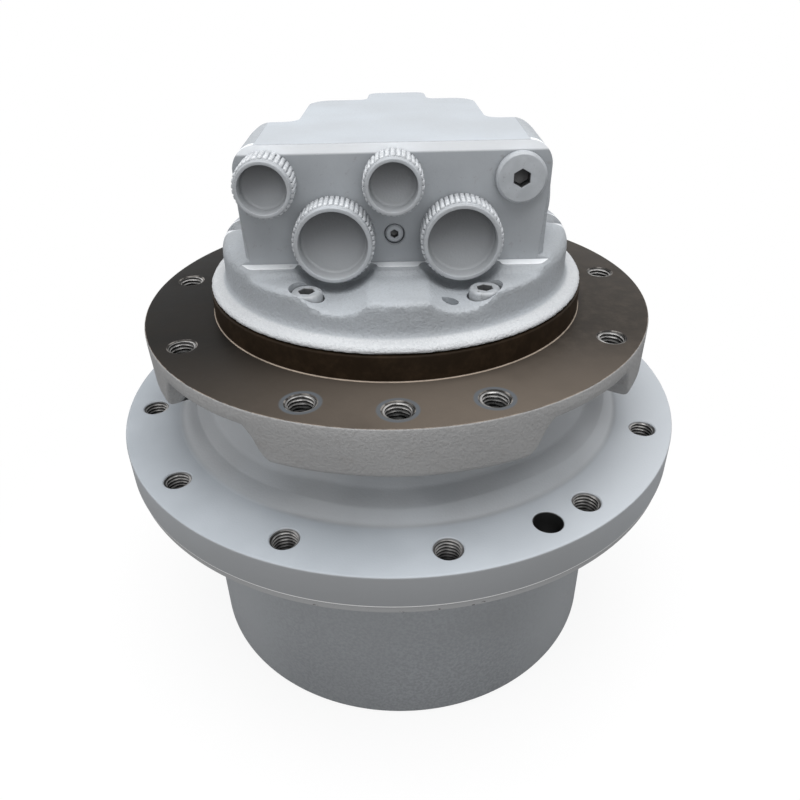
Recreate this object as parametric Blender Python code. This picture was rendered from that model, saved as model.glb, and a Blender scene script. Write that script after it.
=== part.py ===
"""Excavator final drive: a two stage planetary gearbox with its axial piston motor.

It stands on its gearbox cover. Sizes are in millimetres, and MM turns them into metres. Z = 0 is
the rim of the drum, +Z points at the valve block, and the four ports look along -Y.
"""
import math

import bmesh
import bpy
from mathutils import Matrix, Vector

MM = 0.001
GAP = 0.3             # between pieces that touch or seat
RUN = 0.5             # running clearance of pieces that turn past each other
ROUND = 32            # sides of the large turned pieces
MIDDLE = 16           # sides of shafts, caps and rings
SMALL = 8             # sides of screws, pins and holes

# Hub: drum, neck and sprocket flange in one casting
DRUM_WALL = 9.7
DRUM_EDGE = 1.5
FLANGE_EDGE = 14.0      # from the sprocket hole circle out to the rim
FLANGE_TOP = 134.0
FLANGE_THICK = 16.6
LIP_STEP = 0.8
LIP_THICK = 4.0
FLANGE_FLAT = 15.0      # from the sprocket hole circle in to the neck's foot
NECK_WALL = 5.5
NECK_TOP = 161.0
SPROCKET_HOLES = 12
SPROCKET_OUT = 19.0     # from the drum out to the sprocket hole circle
SPROCKET_FIRST = 8.4
SPROCKET_TAP_R = 5.1
DRIFT_HOLE_R = 6.25
DRIFT_HOLE_AT = 28.4

# Frame side: spindle with its mounting flange and pilot
FRAME_EDGE = 13.0       # from the frame hole circle out to the rim
FRAME_TOP = 189.0
FRAME_THICK = 23.0
FRAME_WEB = 8.4
FRAME_CORE = 4.0        # from the neck out to the root of the lobes
FRAME_OUT = 20.0        # from the pilot out to the frame hole circle
FRAME_HOLES = (0, 20, 60, 100, 140, 180, -140, -100, -60, -20)
FRAME_TAP_R = 5.1
LOBE_POCKETS = (((23.8, 56.4), (33.0, 53.5)), ((103.6, 136.2), (106.5, 127.0)))
PILOT_STEP = 1.5        # from the seals' bore out to the pilot
PILOT_HIGH = 11.7
TUBE_R = 65.0
TUBE_END = 91.0
TUBE_STEP = 7.0         # from the bearings' seat out to the shoulder above them
BRAKE_ROOM = 16.0       # from the cylinder block out to the bore that holds the brake
MOTOR_FLOOR = 115.0

# Main bearings and floating seal
BEARING_DEEP = 20.0     # from the tube's seat out to the hub's seat
BEARING_RACE = 5.0
BEARING_WIDE = 22.0
BEARING_LOW = 101.0
BEARING_APART = 4.0
ROLLERS = 10
NUT_WALL = 10.0
NUT_HIGH = 7.7
SEAL_STEP = 3.5         # from the hub's bearing seat out to the seals' bore
SEAL_RUBBER = 4.5       # from the seals' bore in to the metal rings
SEAL_WALL = 7.0
SEAL_HIGH = 8.7

# Gears
MODULE = 3.0
PRESSURE = 20.0
ADDENDUM = 0.8 * MODULE
DEDENDUM = 1.0 * MODULE
BACKLASH = 0.45
RING_TEETH = 60
SUN_1_TEETH = 12
SUN_2_TEETH = 18
PLANETS = 3
RING_WALL = 10.0        # outside the pitch circle
RING_LOW = 19.0
RING_TOP = 83.0
PIN_R = 11.0
STAGE_1_LOW = 23.0
STAGE_1_FACE = 22.0
CARRIER_1_THICK = 7.0
STAGE_2_LOW = 58.0
STAGE_2_FACE = 22.0
CARRIER_2_THICK = 8.4
CARRIER_R = 76.0
PIN_EDGE = 6.0

# Gearbox cover
SNAP_LOW = 4.7
SNAP_THICK = 2.2
SNAP_DEEP = 2.0
COVER_THICK = 10.0
DISH_R = 70.0
DISH_DEEP = 3.5
COVER_PLUG_R = 9.0

# Motor
SHAFT_R = 12.0
SPLINE_R = 9.0
SEAT_R = 26.0         # outside radius of the front bearing
SWASH_R = 44.0
SWASH_THICK = 14.0
BLOCK_R = 36.0
BLOCK_HIGH = 55.0
PISTONS = 9
PLATE_SIDES = 2 * PISTONS
PISTON_R = 5.2
PISTON_PCD_R = 24.0
SLIPPER_R = 7.4
BALL_WALL = 5.2
BALL_HIGH = 5.1
VALVE_PLATE = 4.0
BRAKE_PLATE = 2.0
BRAKE_TRAVEL = 1.5
BRAKE_PISTON_HIGH = 18.0
DISC_SPRING_THICK = 1.8
DISC_SPRING_IN = 7.5    # from the cylinder block out to the disc spring
MOTOR_BEARING_HIGH = 11.7
REAR_BEARING_HIGH = 9.0

# End cover and valve block
LEDGE_WIDE = 7.7
LEDGE_HIGH = 3.3
WALL_TOP = 225.5
TERRACE_TOP = 219.5
BODY_FRONT = -45.8
BODY_HALF = 64.6
BODY_TOP = 273.2
BODY_CHAMFER = 3.8
BOSS_HALF = 41.0
BOSS_BACK = 46.3
NOSE_BACK = 64.6
NOSE_LEFT = -11.5
NOSE_RIGHT = 16.5
SHOULDER_BACK = -4.6
SHELF_TOP = 222.8
SHELF_WIDE = 8.6
SCOOP_R = 21.2
COVER_BOLT_IN = 8.4     # from the cover's wall in to the circle of its screws
COVER_BOLTS = (-29.9, 29.9, 90, 150, -150, -90)
BOLT_R = 4.0
BOLT_HEAD_R = 6.5
BOLT_HEAD = 8.0
BOLT_SEAT = 210.0
BOLT_LONG = 24.0
MAIN_PORT_MID = 1.3
MAIN_PORT_X = 26.3      # from the middle of the pair
MAIN_PORT_Z = 235.0
MAIN_PORT_R = 10.4
SIDE_PORT_X = -51.0
TOP_PORT_Z = 258.7
SIDE_PORT_R = 5.9
PLUG_X = 51.3
PLUG_R = 10.3
CAP_R = 17.0
CAP_SMALL_R = 12.3
CAP_DEEP = 13.4
CAP_WALL = 2.1
CAP_LIP = 1.1          # from the ribs in to the plain lip
SPOOL_Y = -17.0
SPOOL_Z = 243.0
SPOOL_R = 8.0
SPOOL_LONG = 70.0
SPOOL_TRAVEL = 6.0
SHIFT_Y = 24.0
SHIFT_Z = 255.0
SHIFT_R = 5.0
SHIFT_IN = 24.0         # from the middle of the unit to the spool's inner end
SHIFT_LAND = 16.0
SHIFT_WAIST = 10.0
SHIFT_WAIST_R = 3.0
RELIEF_Y = 24.0
RELIEF_Z = 236.5
RELIEF_R = 6.5
RELIEF_NOSE_R = 4.0
RELIEF_NOSE = 8.0       # length of the poppet's nose
RELIEF_IN = 12.0        # length of the cartridge in its bore
RELIEF_HEAD = 10.0

# Places worked out from the sizes above
STACK_LOW = BEARING_LOW
STACK_MID = STACK_LOW + BEARING_WIDE
STACK_HIGH = STACK_MID + BEARING_APART
STACK_TOP = STACK_HIGH + BEARING_WIDE
FRAME_LOW = FRAME_TOP - FRAME_THICK
PILOT_TOP = FRAME_TOP + PILOT_HIGH
COVER_LOW = PILOT_TOP + GAP
RING_PITCH_R = MODULE * RING_TEETH / 2
RING_R = RING_PITCH_R + RING_WALL
DRUM_BORE_R = RING_R + GAP
DRUM_R = DRUM_BORE_R + DRUM_WALL
SPROCKET_PCD_R = DRUM_R + SPROCKET_OUT
FLANGE_R = SPROCKET_PCD_R + FLANGE_EDGE
LIP_R = FLANGE_R - LIP_STEP
FLANGE_FLAT_R = SPROCKET_PCD_R - FLANGE_FLAT
MOTOR_BORE_R = BLOCK_R + BRAKE_ROOM
BEARING_R = TUBE_R + BEARING_DEEP
SEAL_R = BEARING_R + SEAL_STEP
SEAL_OUT_R = SEAL_R - SEAL_RUBBER
SEAL_IN_R = SEAL_OUT_R - SEAL_WALL
NECK_R = SEAL_R + NECK_WALL
PILOT_R = SEAL_R + PILOT_STEP
FRAME_CORE_R = NECK_R + FRAME_CORE
FRAME_PCD_R = PILOT_R + FRAME_OUT
FRAME_R = FRAME_PCD_R + FRAME_EDGE
LEDGE_R = PILOT_R - GAP
WALL_R = LEDGE_R - LEDGE_WIDE
COVER_BOLT_PCD_R = WALL_R - COVER_BOLT_IN
MAIN_PORTS = MAIN_PORT_MID - MAIN_PORT_X, MAIN_PORT_MID + MAIN_PORT_X
PLANET_1_TEETH = (RING_TEETH - SUN_1_TEETH) // 2
PLANET_2_TEETH = (RING_TEETH - SUN_2_TEETH) // 2
CENTRE_1 = MODULE * (SUN_1_TEETH + PLANET_1_TEETH) / 2
CENTRE_2 = MODULE * (SUN_2_TEETH + PLANET_2_TEETH) / 2
CARRIER_1_LOW = STAGE_1_LOW + STAGE_1_FACE + RUN
CARRIER_1_TOP = CARRIER_1_LOW + CARRIER_1_THICK
CARRIER_2_TOP = TUBE_END - GAP
CARRIER_2_LOW = CARRIER_2_TOP - CARRIER_2_THICK
BLOCK_TOP = PILOT_TOP - VALVE_PLATE - 2 * GAP
BLOCK_LOW = BLOCK_TOP - BLOCK_HIGH
SWASH_TOP = MOTOR_FLOOR + GAP + SWASH_THICK
COVER_TOP = RING_LOW - GAP
COVER_BOTTOM = COVER_TOP - COVER_THICK

IRON = (0.32, 0.34, 0.36, 1), 0.62, 0.75
PHOSPHATE = (0.09, 0.075, 0.07, 1), 0.55, 0.7
CAST = (0.62, 0.65, 0.68, 1), 0.58, 0.75
STEEL = (0.55, 0.56, 0.57, 1), 0.35, 1.0
DARK_STEEL = (0.16, 0.16, 0.17, 1), 0.42, 0.9
ZINC = (0.7, 0.71, 0.73, 1), 0.3, 1.0
BRONZE = (0.52, 0.36, 0.17, 1), 0.4, 1.0
RUBBER = (0.02, 0.02, 0.02, 1), 0.75, 0.0
PLASTIC = (0.34, 0.35, 0.36, 1), 0.45, 0.0
LINING = (0.25, 0.2, 0.16, 1), 0.85, 0.1


def clear_scene():
    for item in list(bpy.data.objects):
        bpy.data.objects.remove(item, do_unlink=True)


def bore(radius, sides=ROUND):
    """Corner radius of a faceted hole whose flats stand at the radius."""
    return radius / math.cos(math.pi / sides)


def polar(radius, degrees, height=0.0):
    """Point at an azimuth that is counted from -Y towards +X."""
    angle = math.radians(degrees)
    return Vector((radius * math.sin(angle), -radius * math.cos(angle), height))


def along(axis, point):
    """Matrix that lays local +Z along the axis, with its zero at the point."""
    turn = Vector((0, 0, 1)).rotation_difference(Vector(axis)).to_matrix().to_4x4()
    return Matrix.Translation(Vector(point)) @ turn


def turned(shape, profile, sides=ROUND, where=None):
    """Turns (radius, height) points about local Z. A profile that starts on the axis ends on it."""
    opened = profile[0][0] == 0
    points = [shape.verts.new((radius, 0, height)) for radius, height in profile]
    pairs = list(zip(points, points[1:]))
    if not opened:
        pairs.append((points[-1], points[0]))
    edges = [shape.edges.new(pair) for pair in pairs]
    before = set(shape.faces)
    bmesh.ops.spin(shape, geom=points + edges, cent=(0, 0, 0), axis=(0, 0, 1),
                   angle=math.tau, steps=sides, use_merge=True)
    fresh = {vert for face in shape.faces if face not in before for vert in face.verts}
    bmesh.ops.remove_doubles(shape, verts=list(fresh), dist=0.0005)
    fresh = {vert for face in shape.faces if face not in before for vert in face.verts}
    if where is not None:
        bmesh.ops.transform(shape, matrix=where, verts=list(fresh))


def prism(shape, outline, low, high, where=None):
    """Extrudes a flat outline between two heights and returns the points of its top."""
    floor = [shape.verts.new((x, y, low)) for x, y in outline]
    face = shape.faces.new(floor)
    pushed = bmesh.ops.extrude_face_region(shape, geom=[face], use_keep_orig=True)["geom"]
    tops = [item for item in pushed if isinstance(item, bmesh.types.BMVert)]
    bmesh.ops.translate(shape, verts=tops, vec=(0, 0, high - low))
    if where is not None:
        bmesh.ops.transform(shape, matrix=where, verts=floor + tops)
    return tops


def ringed(shape, outside, inside, low, high, where=None):
    """Extrudes a flat ring. The longer outline holds a whole number of points for each of the other."""
    levels = []
    for height in (low, high):
        levels.append(([shape.verts.new((x, y, height)) for x, y in outside],
                       [shape.verts.new((x, y, height)) for x, y in inside]))
    sectors = min(len(outside), len(inside))
    for outer, inner in levels:
        step_out = len(outer) // sectors
        step_in = len(inner) // sectors
        for k in range(sectors):
            rim = [outer[(k * step_out + j) % len(outer)] for j in range(step_out + 1)]
            hole = [inner[(k * step_in + j) % len(inner)] for j in range(step_in + 1)]
            shape.faces.new(rim + hole[::-1])
    for side in (0, 1):
        count = len(levels[0][side])
        for k in range(count):
            shape.faces.new([levels[0][side][k], levels[0][side][(k + 1) % count],
                             levels[1][side][(k + 1) % count], levels[1][side][k]])
    if where is not None:
        verts = [vert for level in levels for loop in level for vert in loop]
        bmesh.ops.transform(shape, matrix=where, verts=verts)


def circle(radius, sides, start=0.0):
    return [(radius * math.cos(start + math.tau * k / sides), radius * math.sin(start + math.tau * k / sides))
            for k in range(sides)]


def rod(shape, radius, low, high, sides=SMALL, where=None):
    turned(shape, [(0, low), (radius, low), (radius, high), (0, high)], sides, where)


def tube(shape, outer, inner, low, high, sides=MIDDLE, where=None):
    turned(shape, [(bore(inner, sides), low), (outer, low), (outer, high), (bore(inner, sides), high)],
           sides, where)


def coil(shape, radius, wire, low, high, turns, where=None, steps=7, sides=4):
    """Open coil spring about local Z as one swept helix with flat ends."""
    count = turns * steps
    rings = []
    for k in range(count + 1):
        angle = math.tau * k / steps
        height = low + wire + (high - low - 2 * wire) * k / count
        ring = []
        for j in range(sides):
            across = math.tau * (j + 0.5) / sides
            reach = radius + wire * math.cos(across)
            ring.append(shape.verts.new((reach * math.cos(angle), reach * math.sin(angle),
                                         height + wire * math.sin(across))))
        rings.append(ring)
    for near, far in zip(rings, rings[1:]):
        for j in range(sides):
            shape.faces.new([near[j], near[(j + 1) % sides], far[(j + 1) % sides], far[j]])
    shape.faces.new(rings[0][::-1])
    shape.faces.new(rings[-1])
    if where is not None:
        bmesh.ops.transform(shape, matrix=where, verts=[vert for ring in rings for vert in ring])


def made(name, shape, finish, cutters=(), joined=(), early=()):
    """Turns a bmesh in millimetres into a shaded object. Early cuts come before joins, other cuts after."""
    bmesh.ops.recalc_face_normals(shape, faces=shape.faces)
    mesh = bpy.data.meshes.new(name)
    bmesh.ops.scale(shape, vec=(MM, MM, MM), verts=shape.verts)
    shape.to_mesh(mesh)
    shape.free()
    item = bpy.data.objects.new(name, mesh)
    bpy.context.scene.collection.objects.link(item)
    if finish is None:
        item.hide_render = True
        item.display_type = "WIRE"
        return item
    mesh.shade_smooth()
    mesh.set_sharp_from_angle(angle=math.radians(32))
    colour, rough, metal = finish
    material = bpy.data.materials.new(name)
    material.use_nodes = True
    shader = material.node_tree.nodes["Principled BSDF"]
    shader.inputs["Base Color"].default_value = colour
    shader.inputs["Roughness"].default_value = rough
    shader.inputs["Metallic"].default_value = metal
    material.diffuse_color = colour
    mesh.materials.append(material)
    for operation, others in (("DIFFERENCE", early), ("UNION", joined), ("DIFFERENCE", cutters)):
        for other in others:
            boolean = item.modifiers.new(operation.title() + " " + other.name, "BOOLEAN")
            boolean.operation = operation
            boolean.solver = "EXACT"
            boolean.object = other
    return item


def involute(angle):
    return math.tan(angle) - angle


def gear(teeth, inner=False, turn=0.0):
    """Outline of an involute gear with four points to a tooth, or to a space of the ring gear."""
    pitch_r = MODULE * teeth / 2
    base_r = pitch_r * math.cos(math.radians(PRESSURE))
    half = math.pi / (2 * teeth) + (BACKLASH if inner else -BACKLASH) / (4 * pitch_r)

    def spread(radius):
        reach = max(radius, base_r + 0.001)
        return half + involute(math.radians(PRESSURE)) - involute(math.acos(base_r / reach))

    if inner:
        radii = (pitch_r - ADDENDUM, pitch_r + DEDENDUM)
    else:
        radii = (pitch_r - DEDENDUM, pitch_r + ADDENDUM)
    points = []
    for k in range(teeth):
        middle = turn + math.tau * k / teeth
        for radius in radii:
            points.append((radius, middle - spread(radius)))
        for radius in radii[::-1]:
            points.append((radius, middle + spread(radius)))
    return [(radius * math.cos(angle), radius * math.sin(angle)) for radius, angle in points]


def matched_circle(radius, outline, every):
    """Circle with one point for each group of the outline's points, at the group's own angle."""
    angles = [math.atan2(outline[k][1], outline[k][0]) for k in range(0, len(outline), every)]
    return [(radius * math.cos(angle), radius * math.sin(angle)) for angle in angles]


def sector(shape, radii, spans, heights, steps=6):
    """Block between two radii whose azimuth span changes from its floor to its top."""
    levels = []
    for (start, end), height in zip(spans, heights):
        rows = []
        for radius in radii:
            rows.append([shape.verts.new(polar(radius, start + (end - start) * k / steps, height))
                         for k in range(steps + 1)])
        levels.append(rows)
    for k in range(steps):
        for low, high in (((0, 0), (0, 1)), ((1, 0), (1, 1)), ((0, 0), (1, 0)), ((0, 1), (1, 1))):
            first = levels[low[0]][low[1]]
            second = levels[high[0]][high[1]]
            shape.faces.new([first[k], first[k + 1], second[k + 1], second[k]])
    for k in (0, steps):
        shape.faces.new([levels[0][0][k], levels[0][1][k], levels[1][1][k], levels[1][0][k]])


def rounded(corners, steps=4):
    """Outline from (x, y, corner radius) points, with an arc at each corner that has a radius."""
    points = []
    count = len(corners)
    for k, (x, y, radius) in enumerate(corners):
        here = Vector((x, y))
        if not radius:
            points.append((x, y))
            continue
        before = (Vector(corners[k - 1][:2]) - here).normalized()
        after = (Vector(corners[(k + 1) % count][:2]) - here).normalized()
        half = before.angle(after) / 2
        centre = here + (before + after).normalized() * radius / math.sin(half)
        start = here + before * radius / math.tan(half) - centre
        end = here + after * radius / math.tan(half) - centre
        sweep = start.angle_signed(end)
        for j in range(steps + 1):
            angle = -sweep * j / steps
            points.append(tuple(centre + Matrix.Rotation(angle, 2) @ start))
    return points


def holes(name, spots, radius, low, high, sides=SMALL):
    """One cutter that holds a rod at each spot."""
    shape = bmesh.new()
    for spot in spots:
        rod(shape, bore(radius, sides), low, high, sides, Matrix.Translation((spot[0], spot[1], 0)))
    return made(name, shape, None)


def socket_screw(shape, spot, seat, long, radius, head_r, head):
    """Socket head screw that hangs from its seat."""
    where = Matrix.Translation((spot[0], spot[1], seat))
    turned(shape, [(0, -long), (radius, -long), (radius, 0), (head_r, 0), (head_r, head), (0, head)], SMALL,
           where)


def build_hub():
    """Drum, neck and sprocket flange, bored for the ring gear, the bearings and the seal."""
    top = FLANGE_TOP
    under = top - FLANGE_THICK
    lip = under - LIP_THICK
    land = BEARING_R - BEARING_RACE
    seat = bore(BEARING_R + GAP)
    cavity = bore(RING_R - 8)
    deep = bore(DRUM_BORE_R)
    groove = bore(DRUM_BORE_R + SNAP_DEEP)
    profile = [
        (deep, 0), (DRUM_R - 3, 0), (DRUM_R, DRUM_EDGE), (DRUM_R, lip - 5), (DRUM_R + 5, lip), (LIP_R, lip),
        (LIP_R, under), (FLANGE_R, under), (FLANGE_R, top - 1), (FLANGE_R - 1, top), (FLANGE_FLAT_R, top),
        (FLANGE_FLAT_R - 5, top + 4.5), (NECK_R + 6, top + 11), (NECK_R + 2, top + 15),
        (NECK_R, top + 21), (NECK_R, NECK_TOP - 1), (NECK_R - 1, NECK_TOP), (bore(SEAL_R), NECK_TOP),
        (bore(SEAL_R), STACK_TOP + 1), (seat, STACK_TOP + 1), (seat, STACK_HIGH - GAP),
        (land, STACK_HIGH - GAP), (land, STACK_MID + GAP), (seat, STACK_MID + GAP), (seat, STACK_LOW - 2),
        (cavity, STACK_LOW - 5), (cavity, RING_TOP + GAP), (deep, RING_TOP + GAP),
        (deep, SNAP_LOW + SNAP_THICK + GAP), (groove, SNAP_LOW + SNAP_THICK + GAP),
        (groove, SNAP_LOW - GAP), (deep, SNAP_LOW - GAP)]
    step = 360 / SPROCKET_HOLES
    spots = [polar(SPROCKET_PCD_R, SPROCKET_FIRST + step * k) for k in range(SPROCKET_HOLES)]
    taps = holes("sprocket_hole_cutter", spots, SPROCKET_TAP_R, lip - 3, top + 3)
    drift = holes("drift_hole_cutter", [polar(SPROCKET_PCD_R, DRIFT_HOLE_AT)], DRIFT_HOLE_R, lip - 3, top + 3)
    shape = bmesh.new()
    turned(shape, profile)
    made("hub", shape, IRON, cutters=(taps, drift))


def build_spindle():
    """Mounting flange with its cast lobes, the pilot, and the tube that holds bearings and motor."""
    seal_floor = STACK_TOP + 1 + 2 * SEAL_HIGH + 3.4
    shoulder = TUBE_R + TUBE_STEP
    wall = bore(MOTOR_BORE_R)
    seat = bore(SEAT_R + GAP)
    passage = bore(SHAFT_R + 8)
    profile = [
        (passage, TUBE_END), (TUBE_R, TUBE_END), (TUBE_R, STACK_TOP + GAP), (shoulder, STACK_TOP + GAP),
        (shoulder, seal_floor), (bore(SEAL_R), seal_floor), (bore(SEAL_R), NECK_TOP + 1.5),
        (NECK_R - 1, NECK_TOP + 1.5), (FRAME_CORE_R - 2, FRAME_LOW), (FRAME_R - 2.5, FRAME_LOW),
        (FRAME_R, FRAME_TOP - FRAME_WEB - 2), (FRAME_R, FRAME_TOP - 1), (FRAME_R - 1, FRAME_TOP),
        (PILOT_R + 0.6, FRAME_TOP), (PILOT_R, FRAME_TOP + 0.6), (PILOT_R, PILOT_TOP - 0.8),
        (PILOT_R - 0.8, PILOT_TOP), (wall, PILOT_TOP), (wall, MOTOR_FLOOR), (seat, MOTOR_FLOOR),
        (seat, STACK_LOW), (passage, STACK_LOW)]
    shape = bmesh.new()
    for side in (-1, 1):
        for floor, roof in LOBE_POCKETS:
            sector(shape, (FRAME_CORE_R, FRAME_R + 8), ([side * end for end in floor], [side * end for end in roof]),
                   (FRAME_LOW - 3, FRAME_TOP - FRAME_WEB))
    pockets = made("lobe_pocket_cutter", shape, None)
    taps = holes("frame_hole_cutter", [polar(FRAME_PCD_R, angle) for angle in FRAME_HOLES], FRAME_TAP_R,
                 FRAME_LOW - 3, FRAME_TOP + 3)
    bolts = holes("cover_bolt_hole_cutter", [polar(COVER_BOLT_PCD_R, angle) for angle in COVER_BOLTS],
                  BOLT_R + GAP, BOLT_SEAT - BOLT_LONG - 2, PILOT_TOP + 3, 8)
    shape = bmesh.new()
    turned(shape, profile)
    made("spindle", shape, PHOSPHATE, cutters=(pockets, taps, bolts))


def build_bearings():
    """Cups in the hub, cones with their rollers on the tube, and the nut that holds the cones."""
    cone_r = TUBE_R + GAP + BEARING_RACE
    cup_r = BEARING_R - BEARING_RACE
    middle = (cone_r + cup_r) / 2 - 0.4
    roller_r = cup_r - RUN - middle
    outline = []
    for k in range(ROLLERS):
        centre = polar(middle, 360 * k / ROLLERS)
        valley = polar(cone_r, 360 * (k - 0.5) / ROLLERS)
        outline.append((valley.x, valley.y))
        for bend in (-120, -60, 0, 60, 120):
            edge = centre + polar(roller_r, 360 * k / ROLLERS + bend)
            outline.append((edge.x, edge.y))
    inside = matched_circle(bore(TUBE_R + GAP, ROLLERS * 2), outline, 3)
    for name, low in (("low", STACK_LOW + GAP), ("high", STACK_HIGH + GAP)):
        high = low + BEARING_WIDE - 2 * GAP
        cup = bmesh.new()
        tube(cup, BEARING_R, cup_r, low, high, ROUND)
        made("bearing_cup_" + name, cup, STEEL)
        cone = bmesh.new()
        ringed(cone, outline, inside, low, high)
        made("bearing_cone_" + name, cone, STEEL)
    nut = bmesh.new()
    tube(nut, TUBE_R + NUT_WALL, TUBE_R + GAP, STACK_LOW - NUT_HIGH, STACK_LOW, ROUND)
    made("bearing_lock_nut", nut, DARK_STEEL)


def build_seal():
    """Floating seal: two metal rings that run face to face, each with the rubber ring that carries it."""
    low = STACK_TOP + 1 + 1.4
    middle = low + SEAL_HIGH
    rubber_r = SEAL_R - GAP
    for name, back, face in (("floating_seal_hub", low, middle),
                             ("floating_seal_frame", middle + GAP + SEAL_HIGH, middle + GAP)):
        way = 1 if face > back else -1
        shape = bmesh.new()
        turned(shape, [(bore(SEAL_IN_R), back), (SEAL_OUT_R - 2, back + way * 1.2), (rubber_r, back + way * 2.6),
                       (SEAL_OUT_R - 1, back + way * 4.8), (SEAL_OUT_R + 1, face), (bore(SEAL_IN_R), face)])
        made(name, shape, STEEL)


def build_ring_gear():
    inside = gear(RING_TEETH, inner=True)
    outside = matched_circle(RING_R, inside, 4)
    shape = bmesh.new()
    ringed(shape, outside, inside, RING_LOW, RING_TOP)
    made("ring_gear", shape, STEEL)


def build_planets(stage, teeth, centre, low, face):
    """Planets of one stage, each with its origin on its pin."""
    for k, spot in enumerate(planet_spots(centre)):
        outline = gear(teeth, turn=math.tau * k / PLANETS)
        inside = matched_circle(bore(PIN_R + RUN, teeth), outline, 4)
        shape = bmesh.new()
        ringed(shape, outline, inside, low, low + face)
        planet = made("planet_%d_%s" % (stage, "abc"[k]), shape, STEEL)
        planet.location = spot * MM


def build_sun(name, teeth, turn, low, high, hub_low, hub_high, hub_r, hole_r):
    """Sun gear with a collar below or above its teeth."""
    outline = gear(teeth, turn=turn)
    shape = bmesh.new()
    ringed(shape, outline, matched_circle(bore(hole_r, teeth), outline, 4), low, high)
    collar = bmesh.new()
    ringed(collar, matched_circle(hub_r, outline, 4), matched_circle(bore(hole_r, teeth), outline, 4),
           hub_low, hub_high)
    helper = made(name + "_collar", collar, None)
    made(name, shape, STEEL, joined=(helper,))


def build_carrier_1():
    """Plate of the first stage on the collar of the second sun, with its three pins."""
    sun_collar = CENTRE_2 - MODULE * PLANET_2_TEETH / 2 - 5
    shape = bmesh.new()
    prism(shape, lobed(CENTRE_1, PIN_R + PIN_EDGE, CENTRE_1 - PIN_R - PIN_EDGE - 1), CARRIER_1_LOW, CARRIER_1_TOP)
    centre = holes("carrier_1_bore_cutter", [(0, 0)], sun_collar + GAP, CARRIER_1_LOW - 3,
                   CARRIER_1_TOP + 3, SUN_2_TEETH)
    pins = pin_set("carrier_1_pin_form", CENTRE_1, STAGE_1_LOW, CARRIER_1_LOW + 3)
    made("carrier_1", shape, STEEL, cutters=(centre,), joined=(pins,))


def planet_spots(centre):
    return [Vector((centre * math.cos(math.tau * k / PLANETS), centre * math.sin(math.tau * k / PLANETS), 0))
            for k in range(PLANETS)]


def lobed(centre, lobe_r, waist_r):
    """Outline with a round lobe about each planet pin and a waist between the lobes."""
    points = []
    for k in range(PLANETS):
        middle = math.tau * k / PLANETS
        cx = centre * math.cos(middle)
        cy = centre * math.sin(middle)
        for j in range(-4, 5):
            angle = middle + j * math.radians(22)
            points.append((cx + lobe_r * math.cos(angle), cy + lobe_r * math.sin(angle)))
        for j in (-1, 0, 1):
            angle = middle + math.pi / PLANETS + j * math.radians(18)
            points.append((waist_r * math.cos(angle), waist_r * math.sin(angle)))
    return points


def build_carrier_2():
    """Plate that sits on the end of the tube, with its three pins."""
    shape = bmesh.new()
    tube(shape, CARRIER_R, SHAFT_R + 8, CARRIER_2_LOW, CARRIER_2_TOP, ROUND)
    pins = pin_set("carrier_2_pin_form", CENTRE_2, STAGE_2_LOW, CARRIER_2_LOW + 3)
    made("carrier_2", shape, STEEL, joined=(pins,))


def pin_set(name, centre, low, high):
    """Planet pins of one carrier, each with the washer that keeps its planet on."""
    shape = bmesh.new()
    for spot in planet_spots(centre):
        turned(shape, [(0, low - 2.4), (PIN_R + 3, low - 2.4),
                       (PIN_R + 3, low - GAP), (PIN_R, low - GAP), (PIN_R, high), (0, high)], 12,
               Matrix.Translation(spot))
    return made(name, shape, None)


def build_gearbox_cover():
    """Cover that closes the drum, its O-ring, the snap ring that holds it and its two plugs."""
    rim = RING_R - 0.2
    groove = rim - 2.5
    middle = (COVER_BOTTOM + COVER_TOP) / 2
    profile = [(0, COVER_BOTTOM + DISH_DEEP), (DISH_R, COVER_BOTTOM + DISH_DEEP), (DISH_R + 6, COVER_BOTTOM),
               (rim, COVER_BOTTOM),
               (rim, middle - 1.8), (groove, middle - 1.8), (groove, middle + 1.8), (rim, middle + 1.8),
               (rim, COVER_TOP), (24, COVER_TOP), (20, COVER_TOP - 2), (0, COVER_TOP - 2)]
    shape = bmesh.new()
    turned(shape, profile)
    spots = (polar(52, 0), polar(52, 90))
    cut = holes("cover_plug_cutter", spots, COVER_PLUG_R + GAP, COVER_BOTTOM - 3, COVER_TOP + 3, SMALL)
    made("gearbox_cover", shape, IRON, cutters=(cut,))
    shape = bmesh.new()
    seal_r = (DRUM_BORE_R + groove) / 2
    turned(shape, [(seal_r + x, middle + y) for x, y in circle((DRUM_BORE_R - groove) / 2 - 0.15, 4)])
    made("cover_o_ring", shape, RUBBER)
    low = COVER_BOTTOM + DISH_DEEP - 2
    for name, spot in zip(("fill_plug", "level_plug"), spots):
        shape = bmesh.new()
        turned(shape, [(0, low + 5), (4.2, low + 6), (4.2, low), (COVER_PLUG_R - 0.8, low),
                       (COVER_PLUG_R, low + 0.8), (COVER_PLUG_R, COVER_TOP - 1), (0, COVER_TOP - 1)],
               SMALL, Matrix.Translation(spot))
        made(name, shape, DARK_STEEL)
    shape = bmesh.new()
    outer = DRUM_BORE_R + SNAP_DEEP - GAP
    inner = DRUM_BORE_R - 6
    gap_half = 4.0
    points = []
    steps = 24
    for k in range(steps + 1):
        points.append(polar(outer, 90 + gap_half + (360 - 2 * gap_half) * k / steps).to_2d())
    for k in range(steps, -1, -1):
        points.append(polar(inner, 90 + gap_half + (360 - 2 * gap_half) * k / steps).to_2d())
    prism(shape, [tuple(point) for point in points], SNAP_LOW, SNAP_LOW + SNAP_THICK)
    made("cover_snap_ring", shape, DARK_STEEL)


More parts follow.
